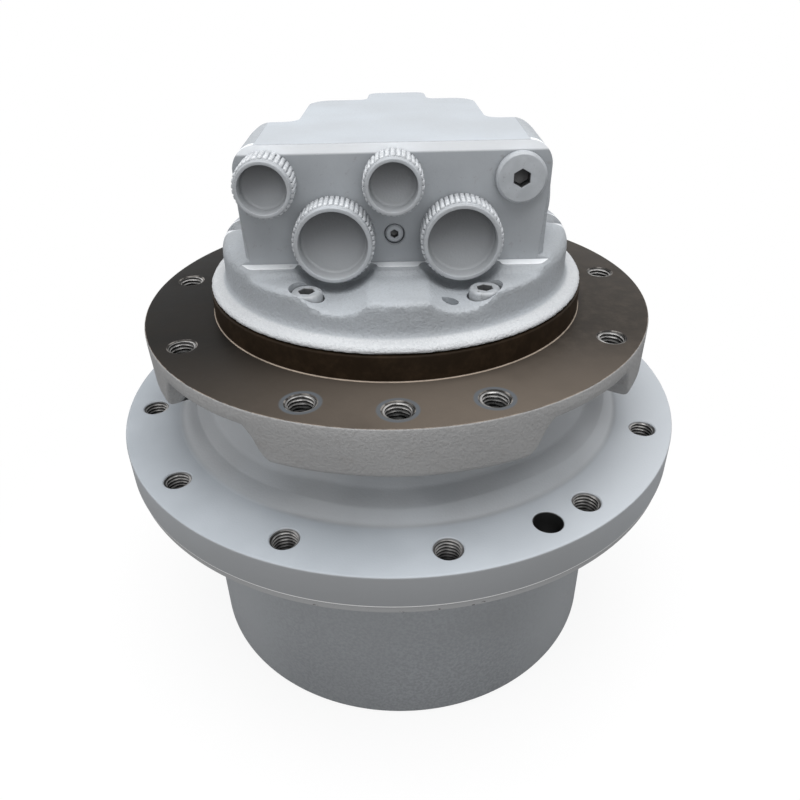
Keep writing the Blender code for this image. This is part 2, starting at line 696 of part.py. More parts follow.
def build_shaft():
    """Motor shaft, the first sun on its spline, the front bearing, the shaft seal and the rear bearing."""
    end = COVER_LOW + 12
    seal_low = TUBE_END + 1
    profile = [(0, STAGE_1_LOW - 2), (SPLINE_R, STAGE_1_LOW - 2), (SPLINE_R, CARRIER_1_TOP + 4),
               (SPLINE_R + 1, CARRIER_1_TOP + 4), (SPLINE_R + 1, TUBE_END - 2), (SHAFT_R, TUBE_END),
               (SHAFT_R, BLOCK_TOP - 4), (SHAFT_R - 2, BLOCK_TOP - 4), (SHAFT_R - 2, end), (0, end)]
    shape = bmesh.new()
    turned(shape, profile, 16)
    made("drive_shaft", shape, STEEL)
    shape = bmesh.new()
    tube(shape, SHAFT_R + 8 - GAP, SHAFT_R + GAP, seal_low, STACK_LOW - 1, MIDDLE)
    made("shaft_seal", shape, RUBBER)
    for name, outer, inner, low, high in (
            ("front_bearing", SEAT_R, SHAFT_R + GAP, STACK_LOW + GAP,
             STACK_LOW + GAP + MOTOR_BEARING_HIGH),
            ("rear_bearing", SHAFT_R + 5 - GAP, SHAFT_R - 2 + GAP, COVER_LOW + 1,
             COVER_LOW + 1 + REAR_BEARING_HIGH)):
        shape = bmesh.new()
        tube(shape, outer, inner, low, high)
        made(name, shape, STEEL)


def build_rotating_group():
    """Cylinder block on the shaft, nine pistons with their slippers, and what holds them down."""
    spots = [polar(PISTON_PCD_R, 360 * k / PISTONS) for k in range(PISTONS)]
    shape = bmesh.new()
    tube(shape, BLOCK_R, SHAFT_R + GAP, BLOCK_LOW, BLOCK_TOP, PLATE_SIDES)
    bores = holes("piston_bore_cutter", spots, PISTON_R + GAP, BLOCK_LOW - 3, BLOCK_TOP - 8, SMALL)
    made("cylinder_block", shape, STEEL, cutters=(bores,))
    pistons = bmesh.new()
    foot = SWASH_TOP + GAP
    for spot in spots:
        turned(pistons, [(0, foot), (SLIPPER_R, foot), (SLIPPER_R, foot + 1.8), (4.6, foot + 2.4),
                         (3, foot + 7), (PISTON_R, foot + 10), (PISTON_R, BLOCK_TOP - 15), (0, BLOCK_TOP - 15)],
               SMALL, Matrix.Translation(spot))
    forms = made("piston_form", pistons, None)
    shape = bmesh.new()
    tube(shape, PISTON_PCD_R + 8.5, SHAFT_R + 6, foot + 1.2, foot + 3.2, PLATE_SIDES)
    made("piston_and_slipper_set", shape, STEEL, joined=(forms,))
    shape = bmesh.new()
    inner = bore(SHAFT_R + GAP, MIDDLE)
    guide_low = foot + 3.9
    guide_top = guide_low + BALL_HIGH
    turned(shape, [(inner, guide_low), (SHAFT_R + BALL_WALL, guide_low), (SHAFT_R + BALL_WALL - 1.2, guide_top - 2),
                   (SHAFT_R + 1.6, guide_top), (inner, guide_top)], MIDDLE)
    made("ball_guide", shape, DARK_STEEL)
    shape = bmesh.new()
    tube(shape, SWASH_R, SHAFT_R + 5, MOTOR_FLOOR + GAP, SWASH_TOP, PLATE_SIDES)
    made("swash_plate", shape, STEEL)
    shape = bmesh.new()
    plate_low = BLOCK_TOP + GAP
    tube(shape, BLOCK_R + 6, SHAFT_R + 1, plate_low, plate_low + VALVE_PLATE, PLATE_SIDES)
    kidneys = bmesh.new()
    for start, end in ((12, 168), (192, 348)):
        sector(kidneys, (PISTON_PCD_R - 3.4, PISTON_PCD_R + 3.4), ((start, end), (start, end)),
               (plate_low - 2, plate_low + VALVE_PLATE + 2), 8)
    made("valve_plate", shape, BRONZE, cutters=(made("kidney_cutter", kidneys, None),))


def build_brake():
    """Parking brake about the cylinder block: plates, sprung piston and its disc spring."""
    outer = MOTOR_BORE_R - 1
    low = BLOCK_LOW + 6
    pitch = BRAKE_PLATE + GAP
    plates = (("brake_separator_plate_1", outer, BLOCK_R + 3, STEEL),
              ("brake_friction_plate", outer - 2, BLOCK_R + GAP, LINING),
              ("brake_separator_plate_2", outer, BLOCK_R + 3, STEEL))
    for k, (name, plate_r, hole_r, finish) in enumerate(plates):
        shape = bmesh.new()
        tube(shape, plate_r, hole_r, low + pitch * k, low + pitch * k + BRAKE_PLATE, PLATE_SIDES)
        made(name, shape, finish)
    foot = low + len(plates) * pitch
    top = foot + BRAKE_PISTON_HIGH
    wide = outer
    narrow = bore(BLOCK_R + 3, PLATE_SIDES)
    shape = bmesh.new()
    turned(shape, [(narrow, foot), (wide, foot), (wide, top), (narrow + 3, top), (narrow + 3, top - 3),
                   (narrow, top - 3)], PLATE_SIDES)
    made("brake_piston", shape, STEEL)
    shape = bmesh.new()
    spring_low = top + BRAKE_TRAVEL + GAP
    spring_top = PILOT_TOP - GAP
    thick = DISC_SPRING_THICK
    rim = wide - 1
    hub = BLOCK_R + DISC_SPRING_IN
    turned(shape, [(hub, spring_top - thick), (rim, spring_low), (rim, spring_low + thick),
                   (hub, spring_top)], PLATE_SIDES)
    made("brake_disc_spring", shape, DARK_STEEL)


def build_end_cover():
    """Cover casting with its valve block, terrace, port scoops, bolt pockets and all its bores."""
    wall = [(0, COVER_LOW), (LEDGE_R, COVER_LOW), (LEDGE_R, COVER_LOW + 1.5),
            (LEDGE_R - 1.2, COVER_LOW + LEDGE_HIGH - 0.6), (WALL_R + 0.8, COVER_LOW + LEDGE_HIGH),
            (WALL_R, COVER_LOW + LEDGE_HIGH + 2.5),
            (WALL_R, WALL_TOP - 6.5), (WALL_R - 1.8, WALL_TOP - 3), (WALL_R - 4.5, WALL_TOP - 1),
            (WALL_R - 9, WALL_TOP), (0, WALL_TOP)]
    shape = bmesh.new()
    turned(shape, wall)
    body = bmesh.new()
    back = BODY_HALF - 4
    corners = [(-BODY_HALF, BODY_FRONT, 6), (BODY_HALF, BODY_FRONT, 6), (back, SHOULDER_BACK, 4),
               (BOSS_HALF, SHOULDER_BACK, 5), (BOSS_HALF - 1, BOSS_BACK, 9), (NOSE_RIGHT + 1, BOSS_BACK, 3),
               (NOSE_RIGHT, NOSE_BACK, 4), (NOSE_LEFT, NOSE_BACK, 4), (NOSE_LEFT - 1, BOSS_BACK, 3),
               (1 - BOSS_HALF, BOSS_BACK, 9), (-BOSS_HALF, SHOULDER_BACK, 5), (-back, SHOULDER_BACK, 4)]
    tops = prism(body, rounded(corners), COVER_LOW + 8, BODY_TOP)
    rim = [edge for edge in body.edges if edge.verts[0] in tops and edge.verts[1] in tops]
    bmesh.ops.bevel(body, geom=rim, offset=BODY_CHAMFER, offset_type="OFFSET", segments=1, profile=0.5,
                    affect="EDGES")
    block = made("valve_block_form", body, None)
    terrace = bmesh.new()
    front = BODY_FRONT - SHELF_WIDE
    prism(terrace, [(-WALL_R - 8, -WALL_R - 8), (WALL_R + 8, -WALL_R - 8), (WALL_R + 8, front),
                    (-WALL_R - 8, front)], TERRACE_TOP, WALL_TOP + 6)
    ledge = bmesh.new()
    prism(ledge, [(-WALL_R, front - 3), (WALL_R, front - 3), (WALL_R, BODY_FRONT + 2.5), (-WALL_R, BODY_FRONT + 2.5)],
          SHELF_TOP, WALL_TOP + 6)
    scoops = bmesh.new()
    for x in MAIN_PORTS:
        rod(scoops, SCOOP_R, -3, WALL_R, 24, along((0, -1, 0), (x, BODY_FRONT, MAIN_PORT_Z)))
    pockets = bmesh.new()
    shanks = bmesh.new()
    for angle in COVER_BOLTS:
        spot = Matrix.Translation(polar(COVER_BOLT_PCD_R, angle))
        rod(pockets, BOLT_HEAD_R + 0.8, BOLT_SEAT - GAP, WALL_TOP + 6, 10, spot)
        rod(shanks, bore(BOLT_R + GAP, 8), COVER_LOW - 3, BOLT_SEAT + 2, 8, spot)
    rod(shanks, bore(SHAFT_R + 5, MIDDLE), COVER_LOW - 3, COVER_LOW + 13, MIDDLE)
    ports = bmesh.new()
    for x, z, radius, deep in port_bores():
        rod(ports, bore(radius, MIDDLE), -3, deep, MIDDLE, along((0, 1, 0), (x, BODY_FRONT, z)))
    lines = bmesh.new()
    rod(lines, bore(SPOOL_R, 10), 2.6 - BODY_HALF + 8, BODY_HALF + 3, 10, along((1, 0, 0), (0, SPOOL_Y, SPOOL_Z)))
    rod(lines, bore(SHIFT_R, 10), -26, BOSS_HALF + 3, 10, along((1, 0, 0), (0, SHIFT_Y, SHIFT_Z)))
    for side in (-1, 1):
        rod(lines, bore(RELIEF_R, 10), -3, 22, 10, along((-side, 0, 0), (side * BOSS_HALF, RELIEF_Y, RELIEF_Z)))
    early = [made("terrace_cutter", terrace, None), made("ledge_cutter", ledge, None),
             made("scoop_cutter", scoops, None)]
    cutters = [made("bolt_pocket_cutter", pockets, None),
               made("underside_bore_cutter", shanks, None), made("port_cutter", ports, None),
               made("spool_bore_cutter", lines, None)]
    made("end_cover", shape, CAST, cutters=cutters, joined=(block,), early=early)


def port_bores():
    """(x, z, radius, depth) of every threaded port in the front face."""
    return ((MAIN_PORTS[0], MAIN_PORT_Z, MAIN_PORT_R, 19), (MAIN_PORTS[1], MAIN_PORT_Z, MAIN_PORT_R, 19),
            (SIDE_PORT_X, TOP_PORT_Z, SIDE_PORT_R, 14), (0, TOP_PORT_Z, SIDE_PORT_R, 14),
            (PLUG_X, TOP_PORT_Z, SIDE_PORT_R, 14), (0, MAIN_PORT_Z, 4.3, 10))


def build_cover_bolts():
    for number, angle in enumerate(COVER_BOLTS, 1):
        shape = bmesh.new()
        socket_screw(shape, polar(COVER_BOLT_PCD_R, angle), BOLT_SEAT, BOLT_LONG, BOLT_R - 0.3, BOLT_HEAD_R,
                     BOLT_HEAD)
        made("end_cover_bolt_%d" % number, shape, DARK_STEEL)


def build_caps():
    """Knurled port caps: an open cup each, with a step in its floor and a stem in the port."""
    caps = (("port_cap_a", MAIN_PORTS[0], MAIN_PORT_Z, CAP_R, MAIN_PORT_R),
            ("port_cap_b", MAIN_PORTS[1], MAIN_PORT_Z, CAP_R, MAIN_PORT_R),
            ("pilot_port_cap", SIDE_PORT_X, TOP_PORT_Z, CAP_SMALL_R, SIDE_PORT_R),
            ("drain_port_cap", 0, TOP_PORT_Z, CAP_SMALL_R, SIDE_PORT_R))
    for name, x, z, outer, port in caps:
        lip = outer - CAP_LIP
        hollow = lip - CAP_WALL
        step = hollow - 1
        shape = bmesh.new()
        turned(shape, [(0, -8), (port - GAP - 1.5, -8), (port - GAP, -7), (port - GAP, GAP), (outer, GAP),
                       (outer, CAP_DEEP - 2.2), (lip, CAP_DEEP - 1.6), (lip, CAP_DEEP), (hollow, CAP_DEEP),
                       (step, 7), (step, 5.5), (0, 5.5)], MIDDLE)
        cap = made(name, shape, PLASTIC)
        cap.matrix_world = along((0, -1, 0), Vector((x, BODY_FRONT, z)) * MM)


def build_block_fittings():
    """Hex socket plugs, the counterbalance and two speed spools, their springs and the relief valves."""
    for name, x, z, head, high, stem in (("drain_hex_plug", PLUG_X, TOP_PORT_Z, PLUG_R, 4.0, SIDE_PORT_R),
                                         ("centre_orifice_plug", 0, MAIN_PORT_Z, 4.2, 0.6, 4.2)):
        shape = bmesh.new()
        key = head * 0.34 if head > 5 else head * 0.5
        start = GAP if head > 5 else -1.0
        turned(shape, [(0, -8), (stem - GAP, -8), (stem - GAP, start), (head - GAP, start),
                       (head - GAP, high - 0.8), (head - GAP - 0.8, high), (key, high), (key, high - 3.5),
                       (0, high - 4.5)], MIDDLE)
        plug = made(name, shape, ZINC)
        plug.matrix_world = along((0, -1, 0), Vector((x, BODY_FRONT, z)) * MM)
    run = SPOOL_R - GAP
    half = SPOOL_LONG / 2
    shape = bmesh.new()
    turned(shape, [(0, -half), (run, -half), (run, -26), (4.5, -24), (4.5, -12), (run, -10), (run, 10),
                   (4.5, 12), (4.5, 24), (run, 26), (run, half), (0, half)], 10,
           along((1, 0, 0), (0, SPOOL_Y, SPOOL_Z)))
    made("counterbalance_spool", shape, STEEL)
    face = BODY_HALF - 1.4
    plug_in = face - 9
    for name, side in (("counterbalance_spring_left", -1), ("counterbalance_spring_right", 1)):
        shape = bmesh.new()
        coil(shape, SPOOL_R - 2.5, 0.9, half + SPOOL_TRAVEL + GAP, plug_in - GAP, 3,
             along((side, 0, 0), (0, SPOOL_Y, SPOOL_Z)))
        made(name, shape, STEEL)
    shape = bmesh.new()
    turned(shape, [(0, plug_in), (run, plug_in), (run, face), (SPOOL_R + 3, face), (SPOOL_R + 3, face + 4),
                   (SPOOL_R + 2, face + 5), (4, face + 5), (4, face + 1), (0, face)], 10,
           along((1, 0, 0), (0, SPOOL_Y, SPOOL_Z)))
    made("counterbalance_plug", shape, ZINC)
    shape = bmesh.new()
    run = SHIFT_R - GAP
    waist = SHIFT_LAND - SHIFT_IN + 1
    land = waist + SHIFT_WAIST + 1
    turned(shape, [(0, -SHIFT_IN), (run, -SHIFT_IN), (run, waist - 1), (SHIFT_WAIST_R, waist),
                   (SHIFT_WAIST_R, land - 1), (run, land), (run, land + SHIFT_WAIST), (0, land + SHIFT_WAIST)], 10,
           along((1, 0, 0), (0, SHIFT_Y, SHIFT_Z)))
    made("two_speed_spool", shape, STEEL)
    shape = bmesh.new()
    where = along((1, 0, 0), (0, SHIFT_Y, SHIFT_Z))
    stop = BOSS_HALF - 8
    turned(shape, [(0, stop), (SHIFT_R - GAP, stop), (SHIFT_R - GAP, BOSS_HALF), (SHIFT_R + 2.5, BOSS_HALF),
                   (SHIFT_R + 2.5, BOSS_HALF + 3), (2.5, BOSS_HALF + 3), (2.5, BOSS_HALF), (0, BOSS_HALF)],
           10, where)
    made("two_speed_plug", shape, ZINC)
    for name, side in (("relief_valve_a", -1), ("relief_valve_b", 1)):
        shape = bmesh.new()
        where = along((side, 0, 0), (side * BOSS_HALF, RELIEF_Y, RELIEF_Z))
        tip = -RELIEF_IN - RELIEF_NOSE
        top = RELIEF_HEAD
        turned(shape, [(0, tip), (RELIEF_NOSE_R, tip), (RELIEF_NOSE_R + 1, -RELIEF_IN),
                       (RELIEF_R - GAP, 2 - RELIEF_IN), (RELIEF_R - GAP, GAP), (RELIEF_R + 3, GAP),
                       (RELIEF_R + 3, 2), (RELIEF_R + 2.4, 3), (RELIEF_R + 2.4, top - 1), (RELIEF_R + 1.4, top),
                       (3.5, top), (3.5, top + 3), (0, top + 3)], 10, where)
        made(name, shape, ZINC)


clear_scene()
build_hub()
build_spindle()
build_bearings()
build_seal()
build_ring_gear()
build_planets(1, PLANET_1_TEETH, CENTRE_1, STAGE_1_LOW, STAGE_1_FACE)
build_planets(2, PLANET_2_TEETH, CENTRE_2, STAGE_2_LOW, STAGE_2_FACE)
build_sun("sun_1", SUN_1_TEETH, math.pi / SUN_1_TEETH, STAGE_1_LOW, STAGE_1_LOW + STAGE_1_FACE,
          STAGE_1_LOW + STAGE_1_FACE - 1, STAGE_1_LOW + STAGE_1_FACE + 4, 13.0, SPLINE_R + GAP)
build_sun("sun_2", SUN_2_TEETH, 0.0, CARRIER_1_TOP + 2, STAGE_2_LOW + STAGE_2_FACE,
          CARRIER_1_LOW, CARRIER_1_TOP + 3, CENTRE_2 - MODULE * PLANET_2_TEETH / 2 - 5, SPLINE_R + 4)
build_carrier_1()
build_carrier_2()
build_gearbox_cover()
build_shaft()
build_rotating_group()
build_brake()
build_end_cover()
build_cover_bolts()
build_caps()
build_block_fittings()
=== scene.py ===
"""Excavator final drive on a pale floor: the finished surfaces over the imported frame.

Lengths are in millimetres and MM turns them into metres. Azimuths are counted from -Y towards +X.
"""
import math

import bmesh
import bpy
from mathutils import Matrix, Vector


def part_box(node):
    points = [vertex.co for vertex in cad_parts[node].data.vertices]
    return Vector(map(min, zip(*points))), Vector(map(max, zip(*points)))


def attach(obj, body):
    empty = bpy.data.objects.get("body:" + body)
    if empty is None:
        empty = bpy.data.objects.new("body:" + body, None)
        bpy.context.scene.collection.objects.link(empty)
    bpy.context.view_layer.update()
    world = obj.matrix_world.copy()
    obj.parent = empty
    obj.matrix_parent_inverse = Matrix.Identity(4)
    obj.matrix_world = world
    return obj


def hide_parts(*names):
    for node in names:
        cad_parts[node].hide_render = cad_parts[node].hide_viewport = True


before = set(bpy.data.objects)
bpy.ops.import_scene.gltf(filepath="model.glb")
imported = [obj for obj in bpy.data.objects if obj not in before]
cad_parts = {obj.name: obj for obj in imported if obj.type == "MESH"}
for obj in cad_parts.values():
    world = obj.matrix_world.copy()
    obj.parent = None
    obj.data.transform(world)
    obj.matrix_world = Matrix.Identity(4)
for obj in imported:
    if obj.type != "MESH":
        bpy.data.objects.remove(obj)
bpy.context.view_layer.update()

# The view. The camera stands before the ports and looks down on the unit, a little turned about
# its own axis, as a hand-held camera is.
MM = 0.001
CAMERA_AT = Vector((0.4, -335.6, 337.4)) * MM
CAMERA_DOWN = math.radians(32.55)
CAMERA_ROLL = math.radians(-1.234)
CAMERA_LENS = 32.12
CAMERA_SHIFT = 0.00125
SENSOR_WIDTH = 36.0

camera_data = bpy.data.cameras.new("camera")
camera_data.lens = CAMERA_LENS
camera_data.sensor_width = SENSOR_WIDTH
camera_data.shift_x = CAMERA_SHIFT
camera_data.clip_start = 0.01
camera = bpy.data.objects.new("camera", camera_data)
across = Vector((1, 0, 0))
upward = Vector((0, math.sin(CAMERA_DOWN), math.cos(CAMERA_DOWN)))
backward = Vector((0, -math.cos(CAMERA_DOWN), math.sin(CAMERA_DOWN)))
camera_x = across * math.cos(CAMERA_ROLL) + upward * math.sin(CAMERA_ROLL)
camera_y = upward * math.cos(CAMERA_ROLL) - across * math.sin(CAMERA_ROLL)
turn = Matrix((camera_x, camera_y, backward)).transposed().to_4x4()
camera.matrix_world = Matrix.Translation(CAMERA_AT) @ turn
bpy.context.scene.collection.objects.link(camera)
bpy.context.scene.camera = camera
bpy.context.scene.view_settings.view_transform = "Standard"

# The light. A large soft panel above, a weaker one at the left and one in front give the pale tops,
# the mid-grey fronts and the soft shade under each flange. The camera and mirrors see white.
LIGHT_AIM = Vector((0, 0, 133)) * MM
LAMPS = (("top_panel", (60.0, -160.0, 1250.0), 1100.0, 17.0),
         ("left_panel", (-950.0, -500.0, 600.0), 600.0, 2.5),
         ("front_panel", (350.0, -1150.0, 420.0), 700.0, 2.5))
for lamp_name, spot, width, watts in LAMPS:
    lamp_data = bpy.data.lights.new(lamp_name, "AREA")
    lamp_data.size = width * MM
    lamp_data.energy = watts
    lamp = bpy.data.objects.new(lamp_name, lamp_data)
    lamp.location = Vector(spot) * MM
    lamp.rotation_euler = (LIGHT_AIM - lamp.location).to_track_quat("-Z", "Y").to_euler()
    bpy.context.scene.collection.objects.link(lamp)


class Wire:
    """A node's output that Python's operators work on. Each expression adds its nodes."""

    def __init__(self, tree, socket=None):
        self.tree = tree
        self.socket = socket

    def node(self, kind, settings=None, sockets=None, out=0):
        """Adds a node with its settings and inputs, and gives one of its outputs."""
        made = self.tree.nodes.new(kind if kind.startswith("Geometry") else "ShaderNode" + kind)
        for key, value in (settings or {}).items():
            setattr(made, key, value)
        for key, value in (sockets or {}).items():
            if isinstance(value, Wire):
                self.tree.links.new(value.socket, made.inputs[key])
            else:
                made.inputs[key].default_value = value
        return Wire(self.tree, made.outputs[out])

    def maths(self, operation, first, second=0.0):
        return self.node("Math", {"operation": operation}, {0: first, 1: second})

    def __add__(self, other):
        return self.maths("ADD", self, other)

    def __sub__(self, other):
        return self.maths("SUBTRACT", self, other)

    def __rsub__(self, other):
        return self.maths("SUBTRACT", other, self)

    def __mul__(self, other):
        return self.maths("MULTIPLY", self, other)

    __radd__ = __add__
    __rmul__ = __mul__

    def step(self, low, high):
        """0 below low and 1 above high, with a soft rise between."""
        return self.node("MapRange", {"interpolation_type": "SMOOTHSTEP"}, {0: self, 1: low, 2: high})

    def fade(self, low, high):
        """1 below low and 0 above high."""
        return 1 - self.step(low, high)

    def most(self, other):
        return self.maths("MAXIMUM", self, other)

    def size(self):
        return self.maths("ABSOLUTE", self)

    def tint(self, first, second):
        """Colour that goes from the first to the second as the socket goes from 0 to 1."""
        return self.node("Mix", {"data_type": "RGBA"}, {0: self, 6: first, 7: second}, out=2)

    def greys(self, first, second):
        """Cloudy colour between two greys, for a noise. Each is the arguments of grey()."""
        return self.step(0.3, 0.7).tint(grey(*first), grey(*second))


WORLD_GREY = 0.3
world = bpy.data.worlds.new("studio")
world.use_nodes = True
bpy.context.scene.world = world
sky = world.node_tree
dim = sky.nodes["Background"]
dim.inputs["Color"].default_value = (WORLD_GREY, WORLD_GREY, WORLD_GREY * 1.02, 1)
white = Wire(sky).node("Background", None, {"Color": (1, 1, 1, 1)})
path = sky.nodes.new("ShaderNodeLightPath")
by_camera, by_mirror, through = [Wire(sky, path.outputs["Is %s Ray" % kind])
                                 for kind in ("Camera", "Glossy", "Transmission")]
blend_sky = white.node("MixShader", None, {0: by_camera.most(by_mirror).most(through),
                                           1: Wire(sky, dim.outputs[0]), 2: white})
sky.links.new(blend_sky.socket, sky.nodes["World Output"].inputs["Surface"])


# The hub. One iron casting holds the drum, the neck and the sprocket flange. The flange is turned
# and drilled, the drum and neck keep their cast skin, and all of it has a thin coat of grey paint.
def coordinates(material):
    """(object position, x, y, z, distance from the unit's axis) in millimetres."""
    start = Wire(material.node_tree)
    place = start.node("TexCoord", out=3)
    place = start.node("VectorMath", {"operation": "SCALE"}, {0: place, "Scale": 1000.0})
    x = start.node("SeparateXYZ", None, {0: place}, out=0)
    y = start.node("SeparateXYZ", None, {0: place}, out=1)
    z = start.node("SeparateXYZ", None, {0: place}, out=2)
    reach = start.maths("SQRT", x * x + y * y)
    return place, x, y, z, reach


def noise(place, size, detail=2.0, rough=0.5):
    """Noise from 0 to 1 whose patches are about the given size."""
    return place.node("TexNoise", None, {"Vector": place, "Scale": 1.0 / size, "Detail": detail,
                                         "Roughness": rough})


def marked(place, name):
    """A number that the mesh carries at its points, for a finish."""
    return place.node("Attribute", {"attribute_name": name}, out=2)


def mark(piece, name, values):
    """Gives each point of a piece a number, which marked() reads."""
    piece.data.attributes.new(name, "FLOAT", "POINT").data.foreach_set("value", values)


def layered(colour, *layers):
    """A colour under layers, each of them (where it shows, its colour)."""
    for mask, paint in layers:
        colour = mask.tint(colour, paint)
    return colour


def distance(x, y, spot):
    """How far from a vertical line through the spot."""
    across = x - spot.x
    down = y - spot.y
    return x.maths("SQRT", across * across + down * down)


def shaded(name, plan):
    """Makes a material and hands its parts to a plan, which returns what varies over the surface."""
    material = bpy.data.materials.new(name)
    material.use_nodes = True
    shader = material.node_tree.nodes["Principled BSDF"]
    facts = plan(*coordinates(material))
    height = facts.pop("height", None)
    depth = facts.pop("depth", 0.1)
    for key, value in facts.items():
        if isinstance(value, Wire):
            material.node_tree.links.new(value.socket, shader.inputs[key])
        else:
            shader.inputs[key].default_value = value
    if height is not None:
        bump = height.node("Bump", None, {"Height": height, "Distance": depth * MM, "Strength": 1.0})
        material.node_tree.links.new(bump.socket, shader.inputs["Normal"])
    return material


def grey(level, warm=0.0):
    """Colour of an sRGB grey level from 0 to 255, with a little yellow or blue in it."""
    def line(value):
        value = value / 255
        return value / 12.92 if value < 0.04045 else ((value + 0.055) / 1.055) ** 2.4
    return (line(level + warm), line(level), line(level - warm), 1.0)


def polar(radius, degrees, height=0.0):
    """Point at a radius from the unit's axis and an azimuth."""
    angle = math.radians(degrees)
    return Vector((radius * math.sin(angle), -radius * math.cos(angle), height))


def along(axis, point):
    """Matrix that lays local +Z along the axis, with its zero at the point."""
    spin = Vector((0, 0, 1)).rotation_difference(Vector(axis)).to_matrix().to_4x4()
    return Matrix.Translation(Vector(point)) @ spin


def softened(corners, steps=5, closed=True):
    """(a, b, radius) corners as a smooth outline, each corner that has a radius as an arc."""
    points = []
    count = len(corners)
    for k, (a, b, radius) in enumerate(corners):
        here = Vector((a, b))
        if not radius or (not closed and k in (0, count - 1)):
            points.append((a, b))
            continue
        before = (Vector(corners[k - 1][:2]) - here).normalized()
        after = (Vector(corners[(k + 1) % count][:2]) - here).normalized()
        half = before.angle(after) / 2
        centre = here + (before + after).normalized() * radius / math.sin(half)
        start = here + before * radius / math.tan(half) - centre
        end = here + after * radius / math.tan(half) - centre
        sweep = start.angle_signed(end)
        for j in range(steps + 1):
            points.append(tuple(centre + Matrix.Rotation(-sweep * j / steps, 2) @ start))
    return points


def bridged(shape, near, far):
    """Band of faces between two closed rings of points."""
    for k in range(len(near)):
        following = (k + 1) % len(near)
        shape.faces.new([near[k], near[following], far[following], far[k]])


def swept(section_at, steps):
    """Ring of closed sections. section_at gives the (radius, height) points at an azimuth."""
    shape = bmesh.new()
    rings = []
    for k in range(steps):
        azimuth = 360 * k / steps
        rings.append([shape.verts.new(polar(radius, azimuth, height))
                      for radius, height in section_at(azimuth)])
    for near, far in zip(rings, rings[1:] + rings[:1]):
        bridged(shape, near, far)
    return shape


def turned(profile, steps=64, where=None, shape=None):
    """Solid turned from (radius, height) points, in a new shape or added to one."""
    if shape is None:
        shape = bmesh.new()
    rings = []
    for radius, height in profile:
        if radius == 0:
            rings.append([shape.verts.new((0, 0, height))])
        else:
            rings.append([shape.verts.new(polar(radius, 360 * k / steps, height)) for k in range(steps)])
    pairs = list(zip(rings, rings[1:]))
    if profile[0][0] != 0:
        pairs.append((rings[-1], rings[0]))
    for near, far in pairs:
        for k in range(steps):
            corners = [near[k % len(near)], near[(k + 1) % len(near)],
                       far[(k + 1) % len(far)], far[k % len(far)]]
            kept = [vert for j, vert in enumerate(corners) if vert not in corners[:j]]
            if len(kept) > 2:
                shape.faces.new(kept)
    if where is not None:
        bmesh.ops.transform(shape, matrix=where, verts=[vert for ring in rings for vert in ring])
    return shape


def rod(radius, low, high, sides, spot):
    """Upright cylinder between two heights above the spot."""
    return turned([(0, low), (radius, low), (radius, high), (0, high)], sides, Matrix.Translation(spot))


def smoothed(piece, sharp):
    """Shades a piece smooth, but for its edges past an angle in degrees."""
    piece.data.shade_smooth()
    piece.data.set_sharp_from_angle(angle=math.radians(sharp))


def mesh_piece(name, shape, material=None, sharp=32):
    """Turns a bmesh in millimetres into a smooth shaded object at the origin."""
    bmesh.ops.recalc_face_normals(shape, faces=shape.faces)
    bmesh.ops.scale(shape, vec=(MM, MM, MM), verts=shape.verts)
    mesh = bpy.data.meshes.new(name)
    shape.to_mesh(mesh)
    shape.free()
    if material is not None:
        mesh.materials.append(material)
    piece = bpy.data.objects.new(name, mesh)
    bpy.context.scene.collection.objects.link(piece)
    smoothed(piece, sharp)
    return piece


def removed(piece):
    """Takes a helper object out of the scene."""
    bpy.data.objects.remove(piece, do_unlink=True)


def applied(piece):
    """Turns what the modifiers of a piece give into its own mesh."""
    graph = bpy.context.evaluated_depsgraph_get()
    mesh = bpy.data.meshes.new_from_object(piece.evaluated_get(graph))
    piece.modifiers.clear()
    piece.data = mesh


def settled(piece, sharp=32):
    """Applies every modifier of a piece and shades it again."""
    old = piece.data
    applied(piece)
    bpy.data.meshes.remove(old)
    piece.data.name = piece.name
    smoothed(piece, sharp)
    return piece


def cut(piece, *cutters, operation="DIFFERENCE"):
    """Boolean of a piece with bmesh shapes, which are used up."""
    for number, shape in enumerate(cutters):
        tool = mesh_piece(piece.name + "_tool_%d" % number, shape)
        boolean = piece.modifiers.new("cut", "BOOLEAN")
        boolean.operation = operation
        boolean.solver = "EXACT"
        boolean.object = tool
        applied(piece)
        removed(tool)
    piece.data.name = piece.name
    return piece


SLIVER = 0.003         # edges shorter than this come from a Boolean and are welded


def sealed(piece):
    """Welds the slivers that Booleans leave behind and closes the slits between them."""
    shape = bmesh.new()
    shape.from_mesh(piece.data)
    bmesh.ops.remove_doubles(shape, verts=shape.verts, dist=SLIVER * MM)
    bmesh.ops.dissolve_degenerate(shape, edges=shape.edges, dist=SLIVER * MM)
    bmesh.ops.holes_fill(shape, edges=[edge for edge in shape.edges if edge.is_boundary], sides=16)
    bmesh.ops.triangulate(shape, faces=[face for face in shape.faces if len(face.verts) > 4])
    shape.to_mesh(piece.data)
    shape.free()


def finished(piece, body, slot_name, material, *nodes):
    """Gives a piece its finish and its body and hides the CAD nodes that it stands for; slot_name is not
    used.
    """
    piece.data.materials.clear()
    piece.data.materials.append(material)
    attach(piece, body)
    if nodes:
        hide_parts(*nodes)
    return piece


